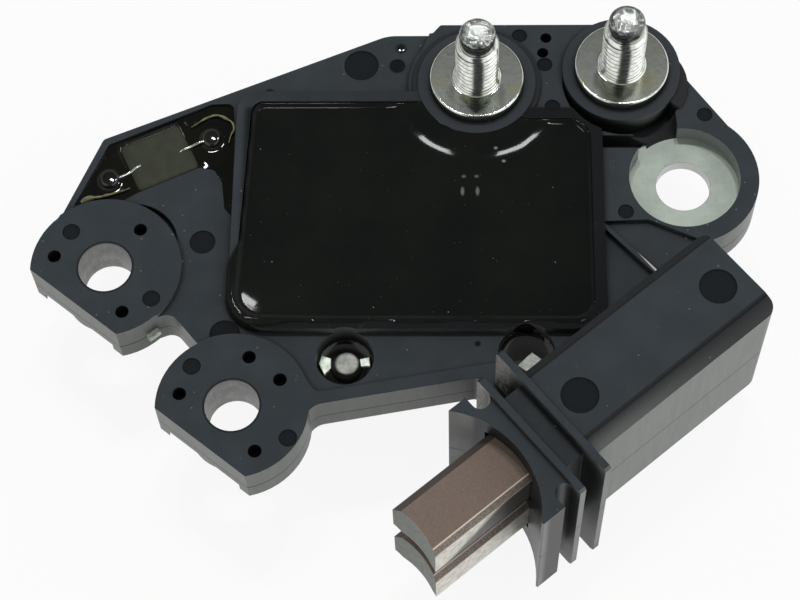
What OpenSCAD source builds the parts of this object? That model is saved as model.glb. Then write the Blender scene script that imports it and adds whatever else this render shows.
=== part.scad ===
// Alternator voltage regulator with its brush holder.
// The origin is on the axis of the lower ear's bore, in the mounting face, and +Z points at the studs.
// The brush box lies across the plate: its own frame has x along the brushes, from their tips to the back.

/* [Base plate] */
// Height of the plate's raised faces above the mounting face
plate_t = 6.0; // [5.4:0.1:8]
// Depth of the plate's field below its raised faces
field_drop = 0.6; // [0.3:0.1:1]
// Outer radius of the two ears with a flat
ear_r = 8.4; // [8:0.1:9.5]
// Distance from an ear's bore axis to its flat
ear_flat = 5.4; // [4.8:0.1:6.5]
// Bore of the two ear sleeves
ear_bore = 6.0; // [5:0.1:7]
// Wall of the two ear sleeves
sleeve_wall = 0.6; // [0.4:0.1:1]
// Height of the plastic lip over the top of each ear sleeve
lip_t = 0.3; // [0.2:0.1:0.5]
// Upper ear bore, to the left of the lower one
upper_ear_dx = 14.9; // [13.5:0.1:17]
// Upper ear bore, above the lower one
upper_ear_dy = 16.7; // [15.5:0.1:18.5]
// Earth ear bore, to the right of the lower ear bore
earth_ear_dx = 50.2; // [49:0.1:53]
// Earth ear bore, above the lower ear bore
earth_ear_dy = 28.0; // [27:0.1:29.5]
// Outer radius of the earth ear
earth_ear_r = 8.4; // [8.2:0.1:9.5]
// Depth of the relief groove under each ear
groove_depth = 1.2; // [0.6:0.1:1.6]
// Diameter of the small holes that the mould's pins leave
pin_hole_d = 1.5; // [1:0.1:1.7]
// Depth of the round marks that the ejectors leave
mark_depth = 0.12; // [0.05:0.01:0.3]

/* [Earth ring] */
// Bore of the earth ring
earth_bore = 6.2; // [5.2:0.1:7]
// Thickness of the earth ring
earth_ring_t = 1.5; // [1:0.1:2]
// Diameter of the screw head recess above the earth ring
head_recess_d = 12.6; // [11:0.1:13]
// How far the earth ring reaches under the plastic all round
ring_grip = 0.6; // [0.3:0.1:1]

/* [Lead frame] */
// Height of the lead frame's underside above the mounting face
lead_z = 2.2; // [1.8:0.1:2.4]
// Thickness of the lead frame
lead_t = 0.8; // [0.5:0.1:1]
// Width of the lead frame's strips
lead_w = 3.0; // [2:0.1:3.4]

/* [Potting pool] */
// Inner width of the pool
pool_w = 40.2; // [39:0.1:41]
// Inner height of the pool, beside the first stud
pool_h = 27.5; // [26.8:0.1:28.3]
// Width of the low wall round the pool
pool_wall = 1.3; // [1:0.1:1.6]
// Rise of the pool's wall above the raised faces
pool_rise = 0.5; // [0.2:0.1:1]
// Potting surface below the top of the pool's wall
potting_drop = 0.3; // [0.1:0.1:0.6]
// Width of the hybrid substrate
substrate_w = 26.0; // [22:0.5:28]
// Height of the hybrid substrate
substrate_h = 18.0; // [15:0.5:20]
// Thickness of the hybrid substrate
substrate_t = 0.6; // [0.4:0.1:0.8]
// Side of the regulator chip
chip_s = 8.0; // [5:0.5:10]
// Thickness of the regulator chip
chip_t = 1.2; // [0.8:0.1:1.6]

/* [Studs] */
// Diameter of the studs over the thread
stud_d = 4.95; // [4:0.05:6]
// Height of a stud above its collar
stud_h = 9.5; // [8:0.1:14]
// Diameter of the plain point at the stud's end
stud_point_d = 4.1; // [3.2:0.1:4.4]
// Height of the plain point at the stud's end
stud_point_h = 2.3; // [1:0.1:3]
// Diameter of a stud's collar
collar_d = 10.8; // [9:0.1:12]
// Height of a collar above its boss
collar_h = 1.2; // [0.6:0.1:2]
// Outer radius of the stud bosses
boss_r = 6.8; // [6.4:0.1:7.3]
// Rise of the stud bosses above the raised faces
boss_rise = 0.6; // [0.3:0.1:1.5]
// Width of the ledge round each boss
ledge_w = 0.6; // [0.4:0.1:0.8]
// Width of the foot round each ledge
foot_w = 0.5; // [0.3:0.1:0.6]
// Distance between the studs along the pool
stud_gap_x = 16.7; // [16.2:0.1:17.5]
// Distance between the studs across the pool
stud_gap_y = 1.6; // [1:0.1:2.2]

/* [Brushes] */
// Width of a brush
brush_w = 7.0; // [6:0.1:7.4]
// Height of a brush
brush_h = 6.4; // [5.6:0.1:6.6]
// Length of a brush
brush_len = 21.0; // [18:0.5:23]
// Distance between the brushes' centre lines
brush_pitch = 8.4; // [7.8:0.1:8.8]
// Depth of the brushes' mid level below the box's own middle
brush_drop = 0.2; // [0:0.1:0.4]
// Bevel along the edges of a brush
brush_bevel = 1.0; // [0.4:0.1:1.2]
// Bevel along the upper right edge of a brush
brush_right_bevel = 0.65; // [0.4:0.05:1.2]
// Offset of the brushes from the box's middle plane, to the left
brush_shift = 0.4; // [0:0.05:0.5]
// Running gap between a brush and its chute on each side
brush_play = 0.15; // [0.05:0.05:0.3]
// Free reach of the brushes in front of the slip ring axis
brush_reach = 2.3; // [0:0.1:4]
// Radius of the slip rings that the brushes run on
slip_ring_r = 9.5; // [8:0.1:10.5]
// Outside diameter of a brush spring
spring_d = 5.2; // [4.4:0.1:5.6]
// Wire diameter of a brush spring
spring_wire = 0.5; // [0.4:0.05:0.6]
// Turns in a brush spring
spring_turns = 9; // [7:1:11]
// Diameter of a brush's pigtail
pigtail_d = 1.6; // [1:0.1:2.2]

/* [Brush box] */
// Angle of the brushes in the plate's plane
box_angle = 40; // [38:0.5:42]
// Distance from the lower ear's bore axis to the brushes' centre plane
box_offset = 25.3; // [25:0.1:26]
// Length of the box behind its rear fin
box_len = 26.2; // [25:0.1:28]
// Width of the box
box_w = 11.8; // [11.2:0.1:13]
// Height of the box
box_h = 20.0; // [19.4:0.1:22]
// Height of the box's middle above the mounting face
box_mid_z = 3.0; // [2.6:0.1:3.4]
// Wall behind the brush springs
box_back_wall = 2.8; // [2:0.1:4]
// Width of the bevel along the box's top edges
box_bevel = 2.2; // [1:0.1:2.4]

/* [Slip ring saddle and fins] */
// Radius of the saddle round the slip rings
saddle_r = 11.25; // [11:0.05:12]
// Distance of the slip ring axis from the lower ear's bore, along the brushes
ring_axis_x = 7.4; // [7:0.1:8]
// Thickness of the saddle behind its tips
saddle_tip_t = 2.3; // [1.8:0.1:2.8]
// Thickness of a fin
fin_t = 0.8; // [0.6:0.1:1.2]
// Gap between the saddle and the front fin
slot_w = 2.1; // [1.6:0.1:2.4]
// Gap between the two fins
fin_gap = 2.6; // [2:0.1:3]
// Reach of the saddle and fins to the right of the brushes' centre plane
fin_right = 8.4; // [7.8:0.1:9]
// Reach of the saddle to the left of the brushes' centre plane
saddle_left = 7.5; // [7.2:0.1:8]
// Reach of the front fin to the left of the brushes' centre plane
front_fin_left = 8.1; // [7.6:0.1:8.6]
// Reach of the rear fin to the left of the brushes' centre plane
rear_fin_left = 9.0; // [8.4:0.1:9.6]

/* [Capacitor] */
// Length of the capacitor
cap_l = 7.2; // [6:0.1:8]
// Width of the capacitor
cap_w = 6.0; // [5:0.1:6.4]
// Height of the capacitor
cap_h = 2.6; // [2:0.1:2.8]
// Diameter of the capacitor's lead wires
cap_lead_d = 0.6; // [0.4:0.05:0.8]
// Diameter of a solder joint
solder_d = 2.4; // [2:0.1:2.8]

/* [Hidden] */
$fn = 64;

plastic = [0.19, 0.21, 0.22];
steel = [0.62, 0.64, 0.64];
zinc = [0.80, 0.81, 0.80];
tin = [0.74, 0.78, 0.74];
copper = [0.72, 0.45, 0.30];
carbon = [0.42, 0.36, 0.33];
resin = [0.05, 0.05, 0.06];

field_z = plate_t - field_drop;
upper_ear = [-upper_ear_dx, upper_ear_dy];
lower_ear = [0, 0];
earth_ear = [earth_ear_dx, earth_ear_dy];
flat_angle = 232;
lap = 0.3;
over = 2;
sleeve_r = ear_bore / 2 + sleeve_wall;
sleeve_top = plate_t - lip_t;
raised_r = ear_r + 0.15;
bay_r = raised_r + 0.05;
crescent_z = 4.4;
crescent_r = 5.27;
crescent_at = upper_ear + 4 * [cos(48), sin(48)];
groove_r1 = 5.3;
groove_r2 = 7.4;
upper_pin_angles = [167, 51.6, -67.9];
lower_pin_angles = [73.9, 30.6, 166.9, -63.3];
pin_ring_r = 5.95;
pin_hole_depth = 2.2;
small_fn = 24;

pool_x0 = -0.5;
pool_y0 = 10.2;
pool_x1 = pool_x0 + pool_w;
pool_y1 = pool_y0 + pool_h;
pool_side_slant = 1.3;
left_wall_low = 0.4;
left_wall_high = 1.3;
pool_step = 2.2;
pool_wall_z = plate_t + pool_rise;
potting_z = pool_wall_z - potting_drop;
pool_floor = lead_z - substrate_t;

left_stud_at = [26.7, pool_y1 + 2.5];
right_stud_at = left_stud_at + [stud_gap_x, stud_gap_y];
boss_z = plate_t + boss_rise;
ledge_r = boss_r + ledge_w;
ledge_z = (plate_t + boss_z) / 2;
foot_r = ledge_r + foot_w;
foot_angles = [-37, 20];
foot_side_r = 5.55;
foot_side_shift = [2.05, -1.75];
trench_z = 3.4;
trench_r = 7.1;
trench_shift = [0.3, -1.2];
stud_foot_d = 7.0;
stud_tail_d = 4.0;
tail_z = lead_z - 0.4;
ring_top = lead_z + earth_ring_t;
slope_angles = [95, 136];

substrate_x = 8;
substrate_y = 13;
lead_lap = 1.6;
earth_pad_y = 9;
terminal_pad_y = [5.5, 1.5];
post_pad_y = 2;

front_slope = 10.3;
front_y = 0.33;
front_x = 10.26;

box_top = box_mid_z + box_h / 2;
box_bottom = box_mid_z - box_h / 2;
chute_w = brush_w + 2 * brush_play;
chute_h = brush_h + 2 * brush_play;
saddle_back = ring_axis_x + sqrt(pow(saddle_r, 2) - pow(saddle_left, 2)) + saddle_tip_t;
front_fin_x = saddle_back + slot_w;
rear_fin_x = front_fin_x + fin_t + fin_gap;
box_x = rear_fin_x + fin_t;
box_end = box_x + box_len;
chute_end = box_end - box_back_wall;
terminal_t = 0.8;
terminal_w = 1.8;
terminal_inset = 0.6;
terminal_step = 3.4;
spring_seat = chute_end - terminal_t;
brush_tip = ring_axis_x - brush_reach;
brush_back = brush_tip + brush_len;
brush_mid = box_mid_z - brush_drop;
brush_levels = [brush_mid + brush_pitch / 2, brush_mid - brush_pitch / 2];
neck_w = box_w - 1.8;
neck_drop = 0.6;
fin_corner = 0.4;
fin_edge = 0.3;
seat_gap = 0.05;

well_r = 3.2;
front_well = [12.1, 5.9];
rear_well = [32.1, 6.4];
well_pin_r = 1.3;
well_pin_z = lead_z + 1.5;

cap_angle = 25.5;
cap_at = [-9.7, 31.0];
cap_top = field_z - 0.1;
cap_floor = cap_top - cap_h;
post_reach = 6.2;
post_r = 0.7;
post_w = 1.6;
wire_z = cap_top - 0.6;
resin_top = field_z - 0.3;

// Points of a round corner at p1, between the straight runs to p0 and p2
function corner(p0, p1, p2, r, n = 6) =
    r <= 0 ? [p1] :
    let (
        a = (p0 - p1) / norm(p0 - p1),
        b = (p2 - p1) / norm(p2 - p1),
        half = acos(a * b) / 2,
        run = r / tan(half),
        centre = p1 + (a + b) / norm(a + b) * r / sin(half),
        s = p1 + a * run - centre,
        e = p1 + b * run - centre,
        a0 = atan2(s[1], s[0]),
        turn = atan2(e[1], e[0]) - a0,
        sweep = turn > 180 ? turn - 360 : turn < -180 ? turn + 360 : turn
    )
    [for (i = [0 : n]) centre + r * [cos(a0 + sweep * i / n), sin(a0 + sweep * i / n)]];

// A closed outline from points and the radius of each one's corner
function rounded(pts, radii) =
    let (n = len(pts))
    [for (i = [0 : n - 1]) each corner(pts[(i + n - 1) % n], pts[i], pts[(i + 1) % n], radii[i])];

// A point of the plate, from x and y in the brush box's frame
function from_box(x, y) =
    let (v = y - box_offset)
    [x * cos(box_angle) - v * sin(box_angle), x * sin(box_angle) + v * cos(box_angle)];

// The front edge of the plate at x
function front_edge(x) = front_y + (x - front_x) * tan(front_slope);

// Points of the pool's outline, moved out by g. The wall is narrow at the lower left
function pool_points(g) = [
    [pool_x0 - g * left_wall_low, pool_y0 - g],
    [pool_x1 + g, pool_y0 - g],
    [pool_x1 + g, pool_y1 - pool_step + g],
    [left_stud_at[0], pool_y1 - pool_step + g],
    [left_stud_at[0], pool_y1 + g],
    [pool_x0 + pool_side_slant - g * left_wall_high, pool_y1 + g]];

module box_frame() {
    rotate([0, 0, box_angle]) translate([0, -box_offset, 0]) children();
}

module ear_plan(at, r) {
    translate(at) difference() {
        circle(r = r);
        rotate([0, 0, flat_angle]) translate([ear_flat, -2 * r]) square([2 * r, 4 * r]);
    }
}

module plate_plan() {
    polygon(rounded([
        [0, -3],
        (ear_r - lap) * [cos(-25), sin(-25)],
        [ear_r + 0.1, front_edge(ear_r + 0.1)],
        [27.0, front_edge(27.0)],
        [28.0, 0.4],
        from_box(box_x + 2, 0),
        from_box(box_end - 3, 3),
        from_box(box_end - 0.2, box_w / 2 + 0.8),
        earth_ear + (earth_ear_r - lap) * [cos(-34), sin(-34)],
        earth_ear + (earth_ear_r - lap) * [cos(34), sin(34)],
        right_stud_at + (foot_r - lap) * [cos(-8), sin(-8)],
        right_stud_at + [1.8, 6.4],
        [22.5, right_stud_at[1] + 6.4],
        [21.6, right_stud_at[1] + 5.3],
        [16.3, right_stud_at[1] + 5.3],
        [-16.2, upper_ear_dy + 16.6],
        upper_ear + (ear_r - 0.1) * [cos(134), sin(134)],
        upper_ear,
        upper_ear + (ear_r - lap) * [cos(-52), sin(-52)],
        [-7.3, 11.35],
        (ear_r - lap) * [cos(118), sin(118)]],
        [0, 0, 2.2, 1.0, 0.5, 0, 0, 0, 0, 0, 0, 0.8, 0.4, 0.4, 5, 0.6, 0, 0, 0, 1.5, 0]));
    ear_plan(lower_ear, ear_r);
    ear_plan(upper_ear, ear_r);
    translate(earth_ear) circle(r = earth_ear_r);
    translate(right_stud_at) {
        circle(r = boss_r + 0.1);
        foot_sector();
    }
}

// The part of the right boss's foot that faces the outside
module foot_sector() {
    intersection() {
        translate(foot_side_shift) circle(r = foot_side_r);
        sector_plan();
    }
}

module sector_plan() {
    polygon([
        [0, 0],
        2 * foot_r * [cos(foot_angles[0]), sin(foot_angles[0])],
        2 * foot_r * [cos(foot_angles[1]), sin(foot_angles[1])]]);
}

module raised_plan() {
    translate(lower_ear) circle(r = raised_r);
    translate(upper_ear) circle(r = raised_r);
    polygon(rounded([
        [0, -3],
        [9, -9],
        [32, -3],
        [30, front_edge(30) + 1.45],
        [9.0, front_edge(9.0) + 1.45],
        [6.5, 5.5]],
        [0, 0, 0, 0, 1.2, 0]));
    polygon([
        left_stud_at + [-4.4, 9.6],
        left_stud_at + [-5.5, 6.8],
        left_stud_at + [-6.7, 3.8],
        left_stud_at + [-7.4, 2.0],
        left_stud_at,
        [left_stud_at[0], pool_y1 - pool_step],
        [pool_x1 + pool_wall, pool_y1 - pool_step],
        [pool_x1 + pool_wall, 22.4],
        [45.9, 22.6],
        from_box(box_end + 2.5, 6.2),
        [earth_ear_dx + 12, 20],
        [earth_ear_dx + 12, 50],
        [right_stud_at[0], right_stud_at[1] + 10]]);
}

module capacitor_bay_plan() {
    polygon(rounded([
        for (a = [121, 111, 101, 91, 82]) upper_ear + bay_r * [cos(a), sin(a)],
        [-12.0, 26.3],
        [-5.0, 29.6],
        [-3.3, 29.3],
        [-2.3, 27.6],
        [-1.9, 24.3],
        [-1.1, 23.4],
        [-1.1, 34.0],
        [-1.4, 38.0],
        [-4.0, 37.9],
        [-15.6, 32.6]],
        [0, 0, 0, 0, 0, 0, 0.6, 0.6, 0, 0, 0, 0, 0.8, 0.8, 0.6]));
}

module left_boss() {
    translate(left_stud_at) {
        cylinder(r = boss_r, h = boss_z);
        cylinder(r = ledge_r, h = ledge_z);
        cylinder(r = foot_r, h = plate_t);
    }
}

module right_boss() {
    translate(right_stud_at) {
        cylinder(r = boss_r, h = boss_z);
        linear_extrude(ledge_z) foot_sector();
    }
}

module pool_plan() {
    difference() {
        polygon(rounded(pool_points(0), [3.2, 2.4, 2.6, 0, 0, 1.4]));
        translate(left_stud_at) circle(r = boss_r);
    }
}

// Trench round the right boss and the channel beside the screw head's recess
module trench_plan() {
    translate(right_stud_at) difference() {
        translate(trench_shift) circle(r = trench_r);
        circle(r = boss_r);
        sector_plan();
        translate([0, boss_r]) square([2 * foot_r, 2 * boss_r], center = true);
    }
    translate([pool_x1 + pool_wall, earth_ear_dy + 3.8])
        square([earth_ear_dx - 4 - pool_x1 - pool_wall, 1.6]);
}

// Slope from the screw head's recess up to the right boss
module recess_slope() {
    rise = plate_t + over - ring_top;
    reach = head_recess_d / 2;
    difference() {
        translate([earth_ear[0], earth_ear[1], ring_top]) intersection() {
            cylinder(r1 = reach, r2 = reach + rise, h = rise);
            linear_extrude(rise) polygon([
                [0, 0],
                for (a = slope_angles) 2 * reach * [cos(a), sin(a)]]);
        }
        translate([right_stud_at[0], right_stud_at[1], 0]) cylinder(r = boss_r, h = plate_t + over);
    }
}

// Crescent of a sunk form beside an ear's raised face
module beside_ear(ear, at, r, floor_z) {
    translate([0, 0, floor_z]) linear_extrude(plate_t) difference() {
        translate(at) circle(r = r);
        translate(ear) circle(r = raised_r);
    }
}

// A round sunk mark in a face at level z, or a hole when it is deep
module mark(at, z, r, depth = mark_depth) {
    translate([at[0], at[1], z - depth]) cylinder(r = r, h = depth + over, $fn = small_fn);
}

module plate_marks() {
    for (a = upper_pin_angles)
        mark(upper_ear + pin_ring_r * [cos(a), sin(a)], plate_t, pin_hole_d / 2, pin_hole_depth);
    for (a = lower_pin_angles)
        mark(lower_ear + pin_ring_r * [cos(a), sin(a)], plate_t, pin_hole_d / 2, pin_hole_depth);
    for (at = [[34.8, 46.4], [34.4, 44.4]])
        mark(at, plate_t, 0.65, pin_hole_depth);
    mark([17.9, 45.4], field_z, 0.65, pin_hole_depth);
    for (at = [[52.8, 36.1], [35.4, 37.2], [31.7, 46.7], [43.4, 23.6], [34.6, 42.8]])
        mark(at, plate_t, 0.9);
    for (at = [upper_ear + [-4.1, 4.4], upper_ear + [5.4, -3.9], [-4.6, 4.6], [6.2, -3.8]])
        mark(at, plate_t, 1.0);
    mark([-4.2, 20.1], field_z, 1.45);
    mark([13.3, 43.1], field_z, 2.0);
    mark([17.5, 43.0], field_z, 0.9);
}

module plate() {
    difference() {
        union() {
            linear_extrude(field_z) plate_plan();
            linear_extrude(plate_t) intersection() {
                plate_plan();
                raised_plan();
            }
            linear_extrude(pool_wall_z)
                polygon(rounded(pool_points(pool_wall), [4.5, 3.6, 3.6, 0, 0, 2.4]));
            left_boss();
            right_boss();
            pool_rib();
        }
        translate([0, 0, pool_floor]) linear_extrude(plate_t) pool_plan();
        translate([0, 0, trench_z]) linear_extrude(plate_t) trench_plan();
        recess_slope();
        beside_ear(upper_ear, crescent_at, crescent_r, crescent_z);
        beside_ear(lower_ear, [-1.2, 8.7], 1.7, field_z - mark_depth);
        translate([0, 0, cap_floor]) linear_extrude(plate_t) capacitor_bay_plan();
        ear_groove(lower_ear);
        ear_groove(upper_ear);
        plate_marks();
        for (at = [front_well, rear_well])
            translate([at[0], at[1], lead_z]) cylinder(r = well_r, h = plate_t);
    }
    // Moulded pins that locate the lead strips in the wells
    for (at = [front_well, rear_well])
        translate([at[0], at[1], lead_z - lap]) cylinder(r = well_pin_r, h = well_pin_z - lead_z + lap);
}

// Low rib from the pool's wall to the brush box
module pool_rib() {
    from = [pool_x1 + pool_wall / 2, 22.4];
    to = [46.5, 16.0];
    run = to - from;
    translate([from[0], from[1], field_z / 2])
        rotate([0, 0, atan2(run[1], run[0])])
            translate([0, -0.25, 0]) cube([norm(run), 0.5, plate_t + 0.2 - field_z / 2]);
}

module ear_groove(at) {
    translate([at[0], at[1], -over]) difference() {
        cylinder(r = groove_r2, h = groove_depth + over);
        cylinder(r = groove_r1, h = groove_depth + 2 * over);
    }
}

module saddle() {
    tip_x = ring_axis_x + sqrt(pow(saddle_r, 2) - pow(fin_right, 2)) + 0.3;
    z0 = box_bottom - 0.7;
    translate([0, 0, z0]) linear_extrude(box_top - z0) difference() {
        translate([tip_x, -fin_right]) square([front_fin_x - tip_x + 0.4, fin_right + saddle_left]);
        translate([ring_axis_x, 0]) circle(r = saddle_r);
        for (side = [[saddle_left, 1], [-fin_right, -1]]) {
            centre_y = side[0] - side[1] * 1.2;
            translate([saddle_back + slot_w / 2, centre_y]) circle(d = slot_w);
            translate([saddle_back, side[1] > 0 ? centre_y : centre_y - 3]) square([slot_w, 3]);
        }
    }
}

module fin(x, left, low, high) {
    c = fin_corner;
    e = fin_edge;
    translate([x, 0, 0]) rotate([90, 0, 90]) linear_extrude(fin_t)
        polygon([
            [-fin_right + c, low], [left - c, low], [left, low + c], [left, high - e],
            [left - e, high], [-fin_right + e, high], [-fin_right, high - e], [-fin_right, low + c]]);
}

module box_shell() {
    w = box_w / 2;
    drop = 0.7;
    low_bevel = 0.8;
    intersection() {
        translate([box_x - 0.2, 0, 0]) rotate([90, 0, 90]) linear_extrude(box_len + 0.2)
            polygon([
                [-w, box_bottom + low_bevel], [-w + low_bevel, box_bottom],
                [w - low_bevel, box_bottom], [w, box_bottom + low_bevel],
                [w, box_top - drop], [w - 1.1, box_top], [-w + box_bevel, box_top], [-w, box_top - drop]]);
        translate([0, 0, box_bottom - over]) linear_extrude(box_h + 2 * over)
            polygon(rounded(
                [[box_x - 1, -w], [box_end, -w], [box_end, w], [box_x - 1, w]],
                [0, 1.4, low_bevel, 0]));
    }
}

module brush_box() {
    box_frame() difference() {
        union() {
            saddle();
            fin(front_fin_x, front_fin_left, box_bottom - 2.5, box_top + 0.5);
            fin(rear_fin_x, rear_fin_left, box_bottom - 4.0, box_top + 1.0);
            translate([front_fin_x - lap, -neck_w / 2, box_bottom + neck_drop])
                cube([box_x - front_fin_x, neck_w, box_h - 2 * neck_drop]);
            box_shell();
        }
        for (x = [box_x + 3.1, box_end - 3.4])
            mark([x, 0], box_top, 2.05);
    }
}

module chute(z) {
    translate([ring_axis_x, brush_shift - chute_w / 2, z - chute_h / 2])
        cube([chute_end - ring_axis_x, chute_w, chute_h]);
}

module housing() {
    color(plastic) difference() {
        union() {
            plate();
            brush_box();
        }
        for (at = [lower_ear, upper_ear]) translate([at[0], at[1], -over]) {
            cylinder(r = sleeve_r, h = sleeve_top + over);
            cylinder(d = ear_bore, h = plate_t + 2 * over);
        }
        translate([earth_ear[0], earth_ear[1], ring_top])
            cylinder(d = head_recess_d, h = plate_t);
        translate([earth_ear[0], earth_ear[1], -over])
            cylinder(d = head_recess_d - 2 * ring_grip, h = lead_z + over + lap);
        earth_ring_shape();
        stud_shape(left_stud_at);
        stud_shape(right_stud_at);
        left_stud_lead_shape();
        right_stud_lead_shape();
        left_post_shape();
        right_post_shape();
        front_strip_shape();
        rear_strip_shape();
        tie_bar_shape();
        brush_terminal_shape(0);
        brush_terminal_shape(1);
        box_frame() for (z = brush_levels) chute(z);
    }
}

module sleeve(at) {
    translate([at[0], at[1], 0]) difference() {
        cylinder(r = sleeve_r, h = sleeve_top);
        translate([0, 0, -over]) cylinder(d = ear_bore, h = plate_t + 2 * over);
    }
}

module upper_ear_sleeve() {
    color(steel) sleeve(upper_ear);
}

module lower_ear_sleeve() {
    color(steel) sleeve(lower_ear);
}

// A flat strip of the lead frame between two points
module strip(a, b, w = lead_w, t = lead_t) {
    run = b - a;
    translate([a[0], a[1], lead_z]) {
        rotate([0, 0, atan2(run[1], run[0])]) translate([0, -w / 2, 0]) cube([norm(run), w, t]);
    }
}

module earth_ring_shape() {
    translate([earth_ear[0], earth_ear[1], lead_z])
        cylinder(d = head_recess_d + 2 * ring_grip, h = earth_ring_t);
    strip(earth_ear, [substrate_x + substrate_w - lead_lap, substrate_y + earth_pad_y]);
}

module earth_ring() {
    color(tin) difference() {
        earth_ring_shape();
        translate([earth_ear[0], earth_ear[1], lead_z - over])
            cylinder(d = earth_bore, h = earth_ring_t + 2 * over);
    }
}

module stud_shape(at) {
    top = boss_z + collar_h;
    translate([at[0], at[1], 0]) {
        translate([0, 0, boss_z - 0.6]) cylinder(d = collar_d, h = collar_h + 0.6);
        translate([0, 0, lead_z + lead_t]) cylinder(d = stud_foot_d, h = boss_z - lead_z - lead_t);
        translate([0, 0, tail_z]) cylinder(d = stud_tail_d, h = lead_z + lead_t - tail_z + 0.5);
        translate([0, 0, top - 0.2]) cylinder(d = stud_d + 0.7, h = 0.5);
        translate([0, 0, top - 0.2]) cylinder(d = stud_d, h = stud_h - stud_point_h + 0.2 - 0.4);
        translate([0, 0, top + stud_h - stud_point_h - 0.4])
            cylinder(d1 = stud_d, d2 = stud_point_d, h = 0.4);
        translate([0, 0, top + stud_h - stud_point_h - 0.1])
            cylinder(d = stud_point_d, h = stud_point_h - 0.3);
        translate([0, 0, top + stud_h - 0.4])
            cylinder(d1 = stud_point_d, d2 = stud_point_d - 0.8, h = 0.4);
    }
}

module left_stud() {
    color(zinc) stud_shape(left_stud_at);
}

module right_stud() {
    color(zinc) stud_shape(right_stud_at);
}

module stud_lead(at, to) {
    difference() {
        union() {
            translate([at[0], at[1], lead_z]) cylinder(r = boss_r - 1.6, h = lead_t);
            strip(at, to);
        }
        translate([at[0], at[1], lead_z - over]) cylinder(d = stud_tail_d, h = lead_t + 2 * over);
    }
}

module left_stud_lead_shape() {
    stud_lead(left_stud_at, [left_stud_at[0] - 2, substrate_y + substrate_h - lead_lap]);
}

module right_stud_lead_shape() {
    stud_lead(right_stud_at, [substrate_x + substrate_w - lead_lap, substrate_y + substrate_h - lead_lap]);
}

module left_stud_lead() {
    color(copper) left_stud_lead_shape();
}

module right_stud_lead() {
    color(copper) right_stud_lead_shape();
}

module hybrid_substrate() {
    color("white") translate([substrate_x, substrate_y, pool_floor])
        cube([substrate_w, substrate_h, substrate_t]);
}

module regulator_chip() {
    color([0.15, 0.15, 0.16])
        translate([substrate_x + substrate_w / 2, substrate_y + substrate_h / 2, lead_z + chip_t / 2])
            cube([chip_s, chip_s, chip_t], center = true);
}

module potting() {
    color(resin) difference() {
        translate([0, 0, pool_floor]) linear_extrude(potting_z - pool_floor) pool_plan();
        hybrid_substrate();
        regulator_chip();
        earth_ring_shape();
        left_stud_lead_shape();
        right_stud_lead_shape();
        right_post_shape();
        brush_terminal_shape(0);
        brush_terminal_shape(1);
    }
}

// The capacitor's frame has x along its leads
module cap_frame() {
    translate(cap_at) rotate([0, 0, cap_angle]) children();
}

module capacitor() {
    color([0.29, 0.30, 0.22]) cap_frame() translate([-cap_l / 2, -cap_w / 2, cap_floor])
        cube([cap_l, cap_w, cap_h]);
}

module wire_shape(side) {
    cap_frame() translate([side * cap_l / 2, 0, wire_z]) rotate([0, side * 90, 0])
        cylinder(d = cap_lead_d, h = post_reach - cap_l / 2 - post_r);
}

module left_capacitor_wire() {
    color(zinc) wire_shape(-1);
}

module right_capacitor_wire() {
    color(zinc) wire_shape(1);
}

function post_at(side) = cap_at + side * post_reach * [cos(cap_angle), sin(cap_angle)];

module post(side) {
    at = post_at(side);
    translate([at[0], at[1], lead_z]) cylinder(r = post_r, h = wire_z + 0.2 - lead_z);
}

module left_post_shape() {
    post(-1);
    difference() {
        strip(post_at(-1), upper_ear, post_w);
        translate([upper_ear[0], upper_ear[1], 0]) cylinder(r = sleeve_r, h = plate_t);
    }
}

module right_post_shape() {
    post(1);
    strip(post_at(1), [substrate_x + lead_lap, substrate_y + substrate_h - post_pad_y], post_w);
}

module left_capacitor_post() {
    color(copper) left_post_shape();
}

module right_capacitor_post() {
    color(copper) right_post_shape();
}

module solder_joint(side) {
    at = post_at(side);
    difference() {
        translate([at[0], at[1], wire_z - 0.5]) cylinder(d = solder_d, h = 0.9);
        post(side);
        wire_shape(side);
    }
}

module left_solder_joint() {
    color(zinc) solder_joint(-1);
}

module right_solder_joint() {
    color(zinc) solder_joint(1);
}

module capacitor_resin() {
    color(resin) difference() {
        translate([0, 0, cap_floor]) linear_extrude(resin_top - cap_floor) capacitor_bay_plan();
        capacitor();
        left_post_shape();
        right_post_shape();
        for (side = [-1, 1]) {
            at = post_at(side);
            wire_shape(side);
            translate([at[0], at[1], wire_z - 0.5]) cylinder(d = solder_d, h = 3);
        }
    }
}

module front_strip_shape() {
    difference() {
        union() {
            strip(front_well + [-well_r - 0.8, 0.2], front_well + [well_r + 0.8, 0.2], 1.2);
            translate([front_well[0], front_well[1], lead_z]) cylinder(r = well_pin_r + 0.6, h = lead_t);
        }
        translate([front_well[0], front_well[1], lead_z - over])
            cylinder(r = well_pin_r, h = lead_t + 2 * over);
    }
}

module rear_strip_shape() {
    difference() {
        strip(rear_well + [-0.2, -well_r - 0.8], rear_well + [-0.2, well_r + 0.3], 3.4);
        translate([rear_well[0], rear_well[1], lead_z - over])
            cylinder(r = well_pin_r, h = lead_t + 2 * over);
    }
}

module front_lead_strip() {
    color(tin) front_strip_shape();
}

module rear_lead_strip() {
    color(tin) rear_strip_shape();
}

module tie_bar_shape() {
    dir = [cos(-51), sin(-51)];
    strip(upper_ear + (sleeve_r + 1.2) * dir, upper_ear + (ear_r + 0.6) * dir, 1.5);
}

module tie_bar_stub() {
    color(zinc) tie_bar_shape();
}

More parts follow.
